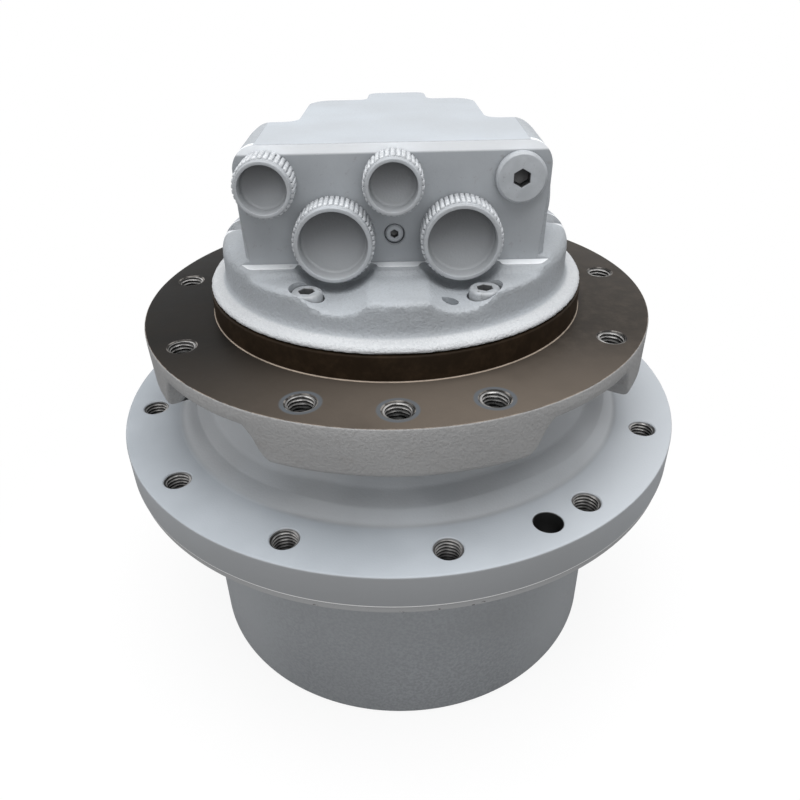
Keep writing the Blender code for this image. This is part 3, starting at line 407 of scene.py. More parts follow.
HUB_STEPS = 256
HUB_SKIN = 0.05        # how far the seen hub lies inside the box of its CAD node
hub_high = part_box("hub")[1] / MM
flange_r = hub_high.x - HUB_SKIN
neck_top = hub_high.z - 2 * HUB_SKIN
FLANGE_TOP = 134.0
FLANGE_FACE = FLANGE_TOP - HUB_SKIN
FLANGE_UNDER = 117.4
LIP_UNDER = 113.4
LIP_R = 142.15
DRUM_R = 110.0
FLANGE_FLAT_R = 114.0
NECK_R = 93.9
SEAL_BORE_R = 88.95
SEAL_FLOOR = 150.0
CUP_SEAT_R = 85.75
CUP_STOP_R = 80.0      # the rib between the two bearing cups
CUP_STOP = (123.3, 126.7)
CUP_END = 99.0
NECK_BORE_R = 92.5
RING_STOP = 83.3       # where the ring gear ends
DRUM_BORE_R = 100.85
SNAP_GROOVE = (4.4, 7.3)
SNAP_GROOVE_DEEP = 2
HUB_HOLES = 12
HUB_HOLE_R = 129.0
HUB_FIRST_HOLE = 8.4
TAP_R = 5.1
THREAD_R = 6.1
THREAD_ROOM = 0.15     # between a thread's sleeve and the hole that it lines
DRIFT_R = 6.25
DRIFT_AT = 28.4
FRAME_TOP = 188.95


def hub_section(azimuth):
    """Outline of the hub at an azimuth. The neck swells a little, and its foot is softer at the left."""
    swell = 0.9 * math.cos(math.radians(azimuth * 5 + 30)) + 0.6 * math.cos(math.radians(azimuth * 8))
    away = abs((azimuth + 75 + 180) % 360 - 180)
    soft = max(0.0, min(1.0, (58 - away) / 22))
    soft = soft * soft * (3 - 2 * soft)
    return softened([
        (DRUM_BORE_R, 0.0, 0), (DRUM_R - 1.6, 0.0, 0.6), (DRUM_R, 1.6, 1.2), (DRUM_R, LIP_UNDER, 3.5),
        (LIP_R, LIP_UNDER, 0.8), (LIP_R, FLANGE_UNDER, 0.5), (flange_r, FLANGE_UNDER, 0.6),
        (flange_r, FLANGE_FACE, 0.9), (FLANGE_FLAT_R + 2.5 * soft, FLANGE_FACE, 4.0),
        (FLANGE_FLAT_R - 5.5 + swell - 2 * soft, FLANGE_TOP + 5.4 - 3.6 * soft, 3.4),
        (FLANGE_FLAT_R - 14 + swell, FLANGE_TOP + 9.2 - 3.4 * soft, 5.0),
        (NECK_R + 0.2, FLANGE_TOP + 17.5, 5.0), (NECK_R, neck_top, 1.2), (SEAL_BORE_R, neck_top, 0),
        (SEAL_BORE_R, SEAL_FLOOR, 0), (CUP_SEAT_R, SEAL_FLOOR, 0), (CUP_SEAT_R, CUP_STOP[1], 0),
        (CUP_STOP_R, CUP_STOP[1], 0), (CUP_STOP_R, CUP_STOP[0], 0), (CUP_SEAT_R, CUP_STOP[0], 0),
        (CUP_SEAT_R, CUP_END, 0), (NECK_BORE_R, CUP_END - 3, 0), (NECK_BORE_R, RING_STOP, 0),
        (DRUM_BORE_R, RING_STOP, 0), (DRUM_BORE_R, SNAP_GROOVE[1], 0),
        (DRUM_BORE_R + SNAP_GROOVE_DEEP, SNAP_GROOVE[1], 0),
        (DRUM_BORE_R + SNAP_GROOVE_DEEP, SNAP_GROOVE[0], 0), (DRUM_BORE_R, SNAP_GROOVE[0], 0)])


def mouth(radius, low, high, spot, edge=0.9, sides=40):
    """Cutter for a hole with a small chamfer at its upper and lower mouths."""
    wide = radius + edge
    return turned([(0, low - 4), (wide + 4, low - 4), (wide, low), (radius, low + edge),
                   (radius, high - edge), (wide, high), (wide + 4, high + 4), (0, high + 4)],
                  sides, Matrix.Translation(spot))


def thread_sleeve(name, radius, core, low, high, pitch=1.75, sides=28, rows=6):
    """Lining of a tapped hole: a thin tube whose inner wall is the thread, marked by its depth."""
    shape = bmesh.new()
    count = round((high - low) / pitch) * rows
    inner = []
    for j in range(count + 1):
        height = low + (high - low) * j / count
        ring = []
        for k in range(sides):
            phase = ((height - low) / pitch - k / sides) % 1.0
            ridge = abs(2 * phase - 1)
            wall = core + (radius - core) * 0.92 * ridge
            ring.append(shape.verts.new(polar(wall, 360 * k / sides, height)))
        inner.append(ring)
    depths = [(vert.co.to_2d().length - core) / (radius - core) for ring in inner for vert in ring]
    outer = [[shape.verts.new(polar(radius, 360 * k / sides, height)) for k in range(sides)]
             for height in (low, high)]
    for near, far in list(zip(inner, inner[1:])) + [outer, (inner[0], outer[0]), (inner[-1], outer[1])]:
        bridged(shape, near, far)
    sleeve = mesh_piece(name, shape, thread_material, 50)
    mark(sleeve, "groove", depths + [0.4] * (2 * sides))
    return sleeve


def repeated(name, unit, count, radius, first, step):
    """Copies of a unit mesh on a circle about the unit's axis, as one mesh made by Geometry Nodes."""
    tree = bpy.data.node_groups.new(name + "_pattern", "GeometryNodeTree")
    tree.interface.new_socket("Geometry", in_out="OUTPUT", socket_type="NodeSocketGeometry")
    asked = {"Count": count, "Radius": radius * MM, "First": math.radians(first), "Step": math.radians(step)}
    sockets = {}
    for label in asked:
        kind = "NodeSocketInt" if label == "Count" else "NodeSocketFloat"
        sockets[label] = tree.interface.new_socket(label, in_out="INPUT", socket_type=kind)
    given = tree.nodes.new("NodeGroupInput")
    wanted = {label: Wire(tree, given.outputs[label]) for label in asked}
    start = Wire(tree)
    line = start.node("GeometryNodeMeshLine", {"mode": "OFFSET"},
                      {"Count": wanted["Count"], "Offset": (0, 0, 0)})
    angle = start.node("Math", {"operation": "MULTIPLY_ADD"},
                       {0: start.node("GeometryNodeInputIndex"), 1: wanted["Step"], 2: wanted["First"]})
    spin = start.node("CombineXYZ", None, {"Z": angle})
    source = start.node("GeometryNodeObjectInfo", None, {"Object": unit}, out="Geometry")
    copies = start.node("GeometryNodeInstanceOnPoints", None,
                        {"Points": line, "Instance": source, "Rotation": spin})
    outward = start.node("CombineXYZ", None, {"Y": wanted["Radius"] * -1.0})
    shifted = start.node("GeometryNodeTranslateInstances", None,
                         {"Instances": copies, "Translation": outward})
    real = start.node("GeometryNodeRealizeInstances", None, {0: shifted})
    painted = start.node("GeometryNodeSetMaterial", None, {0: real, "Material": unit.data.materials[0]})
    tree.links.new(painted.socket, tree.nodes.new("NodeGroupOutput").inputs[0])
    piece = bpy.data.objects.new(name, bpy.data.meshes.new(name))
    bpy.context.scene.collection.objects.link(piece)
    pattern = piece.modifiers.new("pattern", "NODES")
    pattern.node_group = tree
    for label, value in asked.items():
        pattern[sockets[label].identifier] = value
    return settled(piece, 50)


def hub_paint(place, x, y, z, reach):
    """Thin grey paint: smooth on the turned flange, over a pitted cast skin on the drum and neck."""
    grain = noise(place, 1.5, 3.0, 0.6)
    lumps = noise(place, 7.0, 2.0)
    cloud = noise(place, 45.0, 3.0)
    drum = z.fade(LIP_UNDER - 1.5, LIP_UNDER + 0.5)        # each of these is 1 on its part of the hub
    neck = reach.fade(FLANGE_FLAT_R - 1, FLANGE_FLAT_R + 2) * z.step(FLANGE_TOP - 1, FLANGE_TOP + 1)
    cast = drum.most(neck * 0.45)
    top = z.step(FLANGE_TOP - 0.6, FLANGE_TOP - 0.2) * reach.step(FLANGE_FLAT_R, FLANGE_FLAT_R + 3)
    # side: the flange's faces at the front, painted darker as shade.
    side = (1 - top.most(neck)) * (1 - drum) * y.fade(-140, -70)
    rim = reach.step(LIP_R - 2, LIP_R - 1)
    lip = z.fade(FLANGE_UNDER - 0.2, FLANGE_UNDER) * z.step(LIP_UNDER - 0.3, LIP_UNDER) * rim
    # edge: a thin line along the flange's lower edge, painted near white as a highlight.
    edge = z.step(FLANGE_UNDER - 0.4, FLANGE_UNDER - 0.1)
    edge = edge * z.fade(FLANGE_UNDER + 0.5, FLANGE_UNDER + 0.9) * rim
    stain = noise(place, 9.0, 4.0, 0.65).step(0.6, 0.72) * drum * z.step(70, 95)
    chips = noise(place, 3.5, 3.0, 0.7).step(0.64, 0.7)
    chips = chips * z.fade(LIP_UNDER + 1.2, LIP_UNDER + 2.2) * rim
    # The drift hole is painted near black as the shade inside it.
    drift_hole_shade = distance(x, y, polar(HUB_HOLE_R, DRIFT_AT)).fade(DRIFT_R + 0.1, DRIFT_R + 0.4)
    # The turned top is paler, and lighter towards the right as painted light.
    pale = x.step(0, 125).tint(cloud.greys((161, -6), (172, -6)), grey(184, -5))
    # The drum's cast skin is painted darker towards the bottom as shade, and lighter at the left and right as
    # painted light.
    skin = z.step(0, 90).tint(grey(134, -3), grey(150, -3))
    skin = x.size().step(45, 100).tint(skin, grey(172, -3))
    colour = layered(
        cloud.greys((156, -3), (166, -4)),
        # The neck is painted lighter away from the front, as painted light over its shade.
        (neck * y.step(-95, -40) * 0.7, grey(204, -3)),
        (side * 0.9, grey(142, -2)),
        (top, pale),
        (drum * (grain.step(0.35, 0.65) * 0.5 + 0.5), skin),
        (stain * 0.6, grey(146, 16)),
        (lip, grey(160, -1)),
        (edge, grey(250)),
        (chips * 0.8, grey(60, 3)),
        (drift_hole_shade, grey(20)))
    height = grain * cast * 0.4 + lumps * cast * 0.3 + noise(place, 0.9, 2.0) * 0.1
    return {"Base Color": colour, "Roughness": cloud.step(0.3, 0.7) * 0.08 + 0.5 + cast * 0.12,
            "Specular IOR Level": 0.4, "height": height, "depth": 0.45}


hub_material = shaded("hub_paint", hub_paint)
hub = mesh_piece("hub_casting", swept(hub_section, HUB_STEPS))
hub_spots = [polar(HUB_HOLE_R, HUB_FIRST_HOLE + 360 / HUB_HOLES * k) for k in range(HUB_HOLES)]
hub_cutters = [mouth(THREAD_R + THREAD_ROOM, LIP_UNDER, FLANGE_TOP, spot, 0.5) for spot in hub_spots]
hub_cutters.append(mouth(DRIFT_R, LIP_UNDER, FLANGE_TOP, polar(HUB_HOLE_R, DRIFT_AT), 0.6))
cut(hub, *hub_cutters)
smoothed(hub, 32)
finished(hub, "hub_side", "hub_iron", hub_material, "hub")


# The threads. The tapped holes of both flanges, M12, are lined by thin sleeves with a cut thread.
# Their grooves are painted dark as shade under bright crests, and so is the hole further down.
def thread_paint(place, x, y, z, reach):
    """Bright crests over grooves with painted shade, and painted shade deeper in the hole."""
    wear = noise(place, 3.0, 2.0)
    crest = wear.step(0.35, 0.65).tint(grey(138, 1), grey(182, 2))
    frame_side = z.step(150, 160)
    # Deep in the hole near_top is 0, and there the hole is painted near black as shade.
    near_top = frame_side * z.step(FRAME_TOP - 6.0, FRAME_TOP - 1.8)
    near_top = near_top + (1 - frame_side) * z.step(FLANGE_TOP - 12, FLANGE_TOP - 3)
    colour = marked(place, "groove").step(0.12, 0.6).tint(crest, grey(34, 1))
    return {"Base Color": near_top.tint(grey(16), colour), "Metallic": 0.35, "Roughness": wear * 0.2 + 0.34}


thread_material = shaded("hub_thread", thread_paint)
hub_thread_unit = thread_sleeve("hub_thread_unit", THREAD_R, TAP_R, LIP_UNDER + 0.6, FLANGE_TOP - 0.9)
hub_threads = repeated("hub_threads", hub_thread_unit, HUB_HOLES, HUB_HOLE_R, HUB_FIRST_HOLE,
                       360 / HUB_HOLES)
removed(hub_thread_unit)
finished(hub_threads, "hub_side", "bright_steel", thread_material)


# The spindle. Its frame flange carries the lobes that bolt to the undercarriage. The turned top is
# bare and dark with phosphate, the cast sides and the undersides of the lobes have the grey paint.
SPINDLE_STEPS = 360
FRAME_R = 122.95
FRAME_UNDER = 165.2
FRAME_WEB_UNDER = 180.6
FRAME_CORE_R = 98.0
FRAME_PCD_R = 110.0
FRAME_HOLES = (0, 20, 60, 100, 140, 180, -140, -100, -60, -20)
FRAME_MOUTH = 0.35     # chamfer of the tapped holes
SPOTTED_HOLES = (-20, 0, 20)
SPOT_R = 8.9
PILOT_R = 89.9
PILOT_TOP = 200.65
# The ends of the lobes, in degrees from the front: (where a lobe is whole, where it has run out).
LOBE_ENDS = ((24.6, 30.0), (56.4, 53.5), (103.6, 106.5), (136.2, 127.0))
SHAFT_BORE_R = 20.1
TUBE_R = 65.0
TUBE_END = 91.0
CONE_SHOULDER = 149.3
TUBE_ROOT_R = 72.0
SEAL_ROOF = 170.8
SEAL_SKIRT = 162.5
SKIRT_R = 93.0
MOTOR_BORE_R = 52.3
MOTOR_FLOOR = 115.0
BEARING_BORE_R = 26.45
BEARING_FLOOR = 101.0
COVER_BOLTS = (-29.9, 29.9, 90, 150, -150, -90)
COVER_BOLT_PCD_R = 73.6
COVER_BOLT_END = 184.0
COVER_BOLT_BORE_R = 4.3


def lobe_depth(azimuth):
    """1 under a lobe and 0 in the pocket between two lobes, with a run-out between."""
    side = abs((azimuth + 180) % 360 - 180)
    front_end, side_start, side_end, back_start = LOBE_ENDS
    if side <= front_end[0] + 3:
        return 1.0 - 0.55 * max(0.0, (side - front_end[0]) / 3) ** 2
    if side < front_end[1]:
        return 0.45 * (1 - ((side - front_end[0] - 3) / (front_end[1] - front_end[0] - 3)) ** 0.8)
    if side < side_start[1]:
        return 0.0
    if side < side_start[0] - 0.6:
        return 0.35 * (side - side_start[1]) / (side_start[0] - 0.6 - side_start[1])
    if side < side_start[0]:
        return 0.35 + 0.65 * (side - side_start[0] + 0.6) / 0.6
    if side <= side_end[0]:
        return 1.0
    if side < side_end[1]:
        return 1.0 - (side - side_end[0]) / (side_end[1] - side_end[0])
    if side < back_start[1]:
        return 0.0
    if side < back_start[0]:
        return (side - back_start[1]) / (back_start[0] - back_start[1])
    return 1.0


def spindle_section(azimuth):
    """Outline of the spindle at an azimuth: up its outside, over the top and down its bore."""
    deep = lobe_depth(azimuth)
    under = FRAME_WEB_UNDER + (FRAME_UNDER - FRAME_WEB_UNDER) * deep
    foot = FRAME_CORE_R + (FRAME_R - 6.0 - FRAME_CORE_R) * (1 - 0.25 * deep)
    core = FRAME_CORE_R - 1.2 + 1.2 * deep
    wander = 0.35 * math.sin(math.radians(azimuth * 7)) + 0.25 * math.sin(math.radians(azimuth * 17 + 40))
    return softened([
        (SHAFT_BORE_R, TUBE_END, 0), (TUBE_R, TUBE_END, 0), (TUBE_R, CONE_SHOULDER, 0),
        (TUBE_ROOT_R, CONE_SHOULDER, 0), (TUBE_ROOT_R, SEAL_ROOF, 0), (SEAL_BORE_R, SEAL_ROOF, 0),
        (SEAL_BORE_R, SEAL_SKIRT, 0), (SKIRT_R, SEAL_SKIRT, 0), (core - 2.2, FRAME_UNDER, 1.0),
        (core, under + 0.02, 4.5 - 3.0 * deep), (foot, under + 0.05, 0.5),
        (FRAME_R - 0.5 + wander * 0.4, under + 0.1, 1.6 + 1.2 * deep), (FRAME_R, FRAME_TOP - 4.5, 2.0),
        (FRAME_R, FRAME_TOP, 0.9), (PILOT_R + 0.6, FRAME_TOP, 0), (PILOT_R, FRAME_TOP + 0.6, 0.4),
        (PILOT_R, PILOT_TOP, 0.8), (MOTOR_BORE_R, PILOT_TOP, 0), (MOTOR_BORE_R, MOTOR_FLOOR, 0),
        (BEARING_BORE_R, MOTOR_FLOOR, 0), (BEARING_BORE_R, BEARING_FLOOR, 0),
        (SHAFT_BORE_R, BEARING_FLOOR, 0)], 4)


def flange_top_paint(place, x, y, z, reach):
    """Dark phosphate on the turned top, browner and lighter in front as painted light; grey paint elsewhere.
    """
    cloud = noise(place, 60.0, 3.0)
    streak = noise(place, 9.0, 4.0, 0.7)
    grain = noise(place, 1.2, 2.0)
    top = z.step(FRAME_TOP - 0.35, FRAME_TOP - 0.15)
    spigot = reach.fade(PILOT_R + 0.2, PILOT_R + 0.6)
    side = x.step(-100, 40)
    # The phosphate's own streaks and clouds, painted darker at the left and lighter and browner in front as
    # light.
    phosphate_and_sheen = layered(
        side.tint(grey(16, 1), grey(42, 4)),
        (y.fade(-118, -40) * (side * 0.7 + 0.3), grey(86, 8)),
        (streak.step(0.35, 0.8) * 0.35, side.tint(grey(36, 4), grey(78, 7))),
        (cloud.step(0.5, 0.7) * 0.35, grey(26, 4)))
    mouths = None
    for angle in FRAME_HOLES:
        gap = distance(x, y, polar(FRAME_PCD_R, angle))
        mouth_edge = gap.fade(THREAD_R + 0.5, THREAD_R + 0.8)
        mouths = mouth_edge if mouths is None else mouths.most(mouth_edge)
        if angle in SPOTTED_HOLES:
            ring = gap.fade(SPOT_R - 0.9, SPOT_R)
            phosphate_and_sheen = (ring * (streak.step(0.3, 0.7) * 0.25 + 0.7)).tint(phosphate_and_sheen, grey(88, -5))
    edge_metal = noise(place, 4.0, 2.0).step(0.4, 0.7).tint(grey(50, 2), grey(130, 4))
    pilot = (streak.step(0.4, 0.8) * 0.5).tint(grey(26, 8), grey(46, 12))
    # A thin bright line on the top's outer edge and at the spigot's foot is a painted highlight.
    edge_highlight = reach.step(FRAME_R - 0.6, FRAME_R - 0.4) * z.step(FRAME_TOP - 0.7, FRAME_TOP - 0.5)
    edge_highlight = edge_highlight * streak.step(0.35, 0.6) * 0.5
    base = (z - (FRAME_TOP + 0.3)).size().fade(0.05, 0.3) * reach.fade(PILOT_R + 1, PILOT_R + 2)
    bright = edge_highlight.most(base) * (streak.step(0.25, 0.6) * 0.4 + 0.4)
    metal = layered(phosphate_and_sheen, (spigot, pilot), (bright, grey(172, 15)))
    below = z.fade(FRAME_WEB_UNDER - 6, FRAME_WEB_UNDER + 2)
    paint = layered(
        cloud.greys((150, 0), (160, 0)),
        (grain.step(0.4, 0.75) * 0.5, grey(142, 1)),
        (below * streak.step(0.5, 0.8) * 0.5, grey(136, 3)))
    height = grain * (1 - top) + noise(place, 6.0, 2.0) * (1 - top) * 0.7 + streak * top * 0.15
    return {"Base Color": layered(paint, (top, metal), (mouths, edge_metal)),
            "Roughness": top * (streak * 0.2 - 0.22) + 0.56, "Specular IOR Level": 0.05,
            "height": height, "depth": 0.4}


spindle_material = shaded("frame_flange_finish", flange_top_paint)
spindle = mesh_piece("spindle_casting", swept(spindle_section, SPINDLE_STEPS))
for angle in FRAME_HOLES:
    cut(spindle, mouth(THREAD_R + THREAD_ROOM, FRAME_UNDER - 1, FRAME_TOP, polar(FRAME_PCD_R, angle),
                       FRAME_MOUTH))
for angle in COVER_BOLTS:
    cut(spindle, rod(COVER_BOLT_BORE_R, COVER_BOLT_END, PILOT_TOP + 4, 24, polar(COVER_BOLT_PCD_R, angle)))
sealed(spindle)
smoothed(spindle, 34)
finished(spindle, "frame_side", "phosphated_iron", spindle_material, "spindle")
frame_thread_unit = thread_sleeve("frame_thread_unit", THREAD_R, TAP_R, FRAME_WEB_UNDER + 0.6,
                                  FRAME_TOP - 0.5)
for first, step, count in ((0, 20, 2), (60, 40, 3), (180, 40, 4), (-20, 0, 1)):
    frame_threads = repeated("frame_threads_%d" % (first % 360), frame_thread_unit, count, FRAME_PCD_R,
                             first, step)
    finished(frame_threads, "frame_side", "bright_steel", thread_material)
removed(frame_thread_unit)


# The end cover. An iron sand casting closes the motor. Its block holds the ports and the valves.
# The front face, its shelf and the bolt seats are machined, then the whole of it is painted.
COVER_LOW = 201.0
LEDGE_R = 89.6
LEDGE_TOP = 204.3
WALL_R = 82.0
WALL_TOP = 225.4
TERRACE_TOP = 219.5
BODY_FRONT = -45.75
BODY_HALF = 64.55
LEFT_IN = 0.4          # how far the seen block's sides lie inside the CAD's
RIGHT_IN = 0.8
BODY_TOP = 272.2
BODY_CHAMFER = 3.9
BODY_ROUND = 10.0
BOSS_HALF = 41.0
BOSS_BACK = 46.3
NOSE_BACK = 64.6
SHOULDER_BACK = -3.2
SKIN = 0.9             # how far the softened skin lies inside the block's own faces
FAR = 100.0            # beyond the end cover on every side
SHELF_TOP = 222.8
SHELF_FRONT = BODY_FRONT - 8.6
PORTS = (-25.0, 27.6)
PORT_Z = 235.0
PORT_R = 10.4
SCOOP_R = 21.2
SMALL_PORT_Z = 258.1
SMALL_PORT_R = 5.9
SMALL_PORTS = (-51.0, 0.0, 51.3)
BOLT_SEAT = 210.0
BOLT_POCKET_R = 7.3
BOLT_HOLE_R = 4.35
CENTRE_HOLE_R = 4.3
SHAFT_HOLE_R = 17.1
DIMPLE_R = 3.5         # the small blind hole beside the right screw
DIMPLE_AT = polar(72.5, 17.8, TERRACE_TOP)
SPOOL_Y = -17.0
SPOOL_Z = 243.0
SPOOL_BORE_R = 8.05
SHIFT_Y = 24.0
SHIFT_Z = 255.0
SHIFT_BORE_R = 5.05
RELIEF_Z = 236.5
RELIEF_BORE_R = 6.55
BOSS_SIDE = 40.9
CAST_GRAIN = 1.3


def box_shape(low, high):
    """Box between two corners."""
    shape = bmesh.new()
    bmesh.ops.create_cube(shape, size=1)
    bmesh.ops.scale(shape, vec=Vector(high) - Vector(low), verts=shape.verts)
    bmesh.ops.translate(shape, vec=(Vector(high) + Vector(low)) / 2, verts=shape.verts)
    return shape


def pin_shape(radius, length, spot, axis, edge=0.0, sides=48):
    """Cylinder that starts at a point and runs along an axis, widened at its start by a chamfer."""
    wide = radius + edge
    return turned([(0, -3), (wide + (3 if edge else 0), -3), (wide, 0), (radius, edge), (radius, length),
                   (0, length)], sides, along(axis, spot))


def block_form(inset, front, top):
    """Valve block: wide and chamfered in front, a boss and a nose behind, its long edges rounded."""
    left = inset - BODY_HALF + LEFT_IN
    right = BODY_HALF - RIGHT_IN - inset
    face = softened([(left, COVER_LOW + 8, 0), (left, top, BODY_ROUND), (right, top, BODY_ROUND),
                     (right, COVER_LOW + 8, 0)], 12)
    block = bmesh.new()
    near = [block.verts.new((x, front, z)) for x, z in face]
    far = [block.verts.new((x, FAR, z)) for x, z in face]
    lid = block.faces.new(near)
    block.faces.new(list(reversed(far)))
    for k in range(len(face)):
        block.faces.new([near[k], far[k], far[(k + 1) % len(face)], near[(k + 1) % len(face)]])
    bmesh.ops.bevel(block, geom=list(lid.edges), offset=BODY_CHAMFER, offset_type="OFFSET", segments=1,
                    profile=0.5, affect="EDGES")
    form = mesh_piece("block_form", block)
    back = BODY_HALF - 4 - inset
    shoulder = SHOULDER_BACK - inset
    boss = BOSS_BACK - inset
    nose = NOSE_BACK - inset
    plan = softened([
        (-80, front - 9, 0), (80, front - 9, 0), (80, -25, 0), (back + 1.6, -14, 12), (back - 4, shoulder, 6),
        (BOSS_HALF + 0.5 - inset, shoulder, 7), (BOSS_HALF - 1 - inset, boss, 11), (17.5 - inset, boss, 4),
        (16.5 - inset, nose, 5), (inset - 11.5, nose, 5), (inset - 12.5, boss, 4),
        (1 + inset - BOSS_HALF, boss, 11), (inset - 0.5 - BOSS_HALF, shoulder, 7), (4 - back, shoulder, 6),
        (-1 - back, -14, 12), (-80, -25, 0)], 10)
    outline = bmesh.new()
    low = [outline.verts.new((x, y, COVER_LOW)) for x, y in plan]
    high = [outline.verts.new((x, y, top + 9)) for x, y in plan]
    outline.faces.new(list(reversed(low)))
    outline.faces.new(high)
    bridged(outline, low, high)
    cut(form, outline, operation="INTERSECT")
    rounded_block = bmesh.new()
    rounded_block.from_mesh(form.data)
    bmesh.ops.scale(rounded_block, vec=(1 / MM, 1 / MM, 1 / MM), verts=rounded_block.verts)
    removed(form)
    return rounded_block


def cast_forms():
    """Rough casting of the end cover: soft fillets round a crisp block, its front face left to mill."""
    profile = [(0, COVER_LOW, 0), (LEDGE_R, COVER_LOW, 0.4), (LEDGE_R, LEDGE_TOP - 0.4, 1.2),
               (WALL_R, LEDGE_TOP + 0.4, 2.0), (WALL_R, WALL_TOP - 1.0, 6.5), (WALL_R - 10, WALL_TOP, 5),
               (0, WALL_TOP, 0)]
    casting = mesh_piece("end_cover_casting", turned(softened(profile, 6, closed=False), 200))
    terrace = bmesh.new()
    steps = [(BODY_FRONT + 4, SHELF_TOP + 0.5), (BODY_FRONT - 4.4, SHELF_TOP + 0.9),
             (SHELF_FRONT, TERRACE_TOP), (-FAR, TERRACE_TOP), (-FAR, 250.0), (BODY_FRONT + 4, 250.0)]
    ends = [[terrace.verts.new((x, y, z)) for y, z in steps] for x in (-FAR, FAR)]
    terrace.faces.new(ends[0])
    terrace.faces.new(list(reversed(ends[1])))
    for k in range(len(steps)):
        terrace.faces.new([ends[0][k], ends[0][k - 1], ends[1][k - 1], ends[1][k]])
    cut(casting, terrace)
    scoops = [pin_shape(SCOOP_R, 80, (x, BODY_FRONT + 3, PORT_Z), (0, -1, 0), 0, 72) for x in PORTS]
    cut(casting, *scoops)
    cut(casting, block_form(SKIN, BODY_FRONT - 0.2, BODY_TOP - SKIN), operation="UNION")
    soft = casting.modifiers.new("skin", "REMESH")
    soft.mode = "VOXEL"
    soft.voxel_size = CAST_GRAIN * MM
    settle = casting.modifiers.new("settle", "SMOOTH")
    settle.factor = 0.5
    settle.iterations = 5
    thin = casting.modifiers.new("thin", "DECIMATE")
    thin.ratio = 0.4
    settled(casting)
    return cut(casting, block_form(0, BODY_FRONT - 0.6, BODY_TOP), operation="UNION")


def cover_cutters():
    """Machined forms: the front face and its shelf, bolt pockets, ports, valve bores and shaft bore."""
    shapes = [box_shape((-FAR, -FAR, SHELF_TOP), (FAR, BODY_FRONT, 290))]
    for angle in COVER_BOLTS:
        spot = polar(COVER_BOLT_PCD_R, angle)
        shapes.append(rod(BOLT_POCKET_R, BOLT_SEAT - 0.3, 250, 40, spot))
        shapes.append(rod(BOLT_HOLE_R, COVER_LOW - 3, BOLT_SEAT + 1, 24, spot))
    inward = (0, 1, 0)
    pins = [(PORT_R, 19, (x, BODY_FRONT, PORT_Z), inward, 1.2, 64) for x in PORTS]
    pins += [(SMALL_PORT_R, 14, (x, BODY_FRONT, SMALL_PORT_Z), inward, 0.8) for x in SMALL_PORTS]
    pins += [(CENTRE_HOLE_R, 10, (0, BODY_FRONT, PORT_Z), inward, 0.5, 32),
             (DIMPLE_R, 9, DIMPLE_AT, (0, 0, -1), 0.5, 32),
             (SPOOL_BORE_R, 2 * BODY_HALF - 10, (BODY_HALF, SPOOL_Y, SPOOL_Z), (-1, 0, 0), 0.8),
             (SHIFT_BORE_R, 67, (BOSS_SIDE, SHIFT_Y, SHIFT_Z), (-1, 0, 0), 0.6)]
    pins += [(RELIEF_BORE_R, 22, (side * BOSS_SIDE, SHIFT_Y, RELIEF_Z), (-side, 0, 0), 0.6)
             for side in (-1, 1)]
    pins.append((SHAFT_HOLE_R, 13, (0, 0, COVER_LOW), (0, 0, 1)))
    return shapes + [pin_shape(*pin) for pin in pins]


def cover_paint(place, x, y, z, reach):
    """Grey paint over sand cast iron, smoother in front; pale edges and side pockets are painted light."""
    cloud = noise(place, 38.0, 3.0)
    grain = noise(place, 1.1, 3.0, 0.6)
    lumps = noise(place, 5.5, 2.0)
    wear = noise(place, 2.6, 3.0, 0.7).step(0.62, 0.7)
    top = z.step(BODY_TOP - 0.08, BODY_TOP - 0.02)
    # bevel: the chamfer round the block's top, in front only, painted near white as a highlight.
    bevel = z.step(BODY_TOP - BODY_CHAMFER - 0.6, BODY_TOP - BODY_CHAMFER + 0.6) * (1 - top)
    bevel = bevel * y.fade(BODY_FRONT + 2.8, BODY_FRONT + 3.8)
    face = y.fade(BODY_FRONT + 0.15, BODY_FRONT + 0.5) * z.step(SHELF_TOP - 2, SHELF_TOP)
    ledge = z.fade(LEDGE_TOP + 0.3, LEDGE_TOP + 1.2) * reach.step(WALL_R, WALL_R + 1)
    # The milled shelf is painted near white, partly its own smooth tone and partly a painted highlight.
    shelf = z.step(SHELF_TOP - 0.2, SHELF_TOP - 0.1) * z.fade(SHELF_TOP + 0.1, SHELF_TOP + 0.2)
    shelf = shelf * y.fade(BODY_FRONT - 0.4, BODY_FRONT - 0.1) * y.step(SHELF_FRONT - 1, SHELF_FRONT)
    # The pockets of the two side screws are painted pale as light, against the shade inside them.
    beside = x.size().step(65, 66) * y.size().fade(8, 8.5)      # the pockets of the two side screws
    beside = beside * z.fade(WALL_TOP - 1, WALL_TOP) * reach.fade(81, 81.5)
    colour = layered(
        cloud.greys((158, -4), (168, -5)),
        (grain.step(0.4, 0.75) * 0.45, grey(146, -3)),
        (top * 0.8, cloud.greys((170, -5), (180, -6))),
        (face * 0.85, cloud.greys((148, -4), (158, -4))),
        (bevel * 0.9, grey(250, -3)),
        (shelf * 0.9, grey(232, -3)),
        (ledge * (grain.step(0.3, 0.7) * 0.3 + 0.6), grey(200, -2)),
        (beside, grey(222, -3)),
        (wear * (face * 0.25 + 0.1) * (1 - bevel), grey(128, 3)))
    rough_skin = 1 - (face + top * 0.75).step(0.0, 1.0)
    height = grain * (rough_skin * 0.9 + 0.12) + lumps * (rough_skin * 0.9 + 0.1) + grain * ledge * 0.5
    return {"Base Color": colour, "Roughness": cloud.step(0.3, 0.7) * 0.08 + 0.46 + rough_skin * 0.1,
            "Specular IOR Level": 0.4, "height": height, "depth": 0.5}


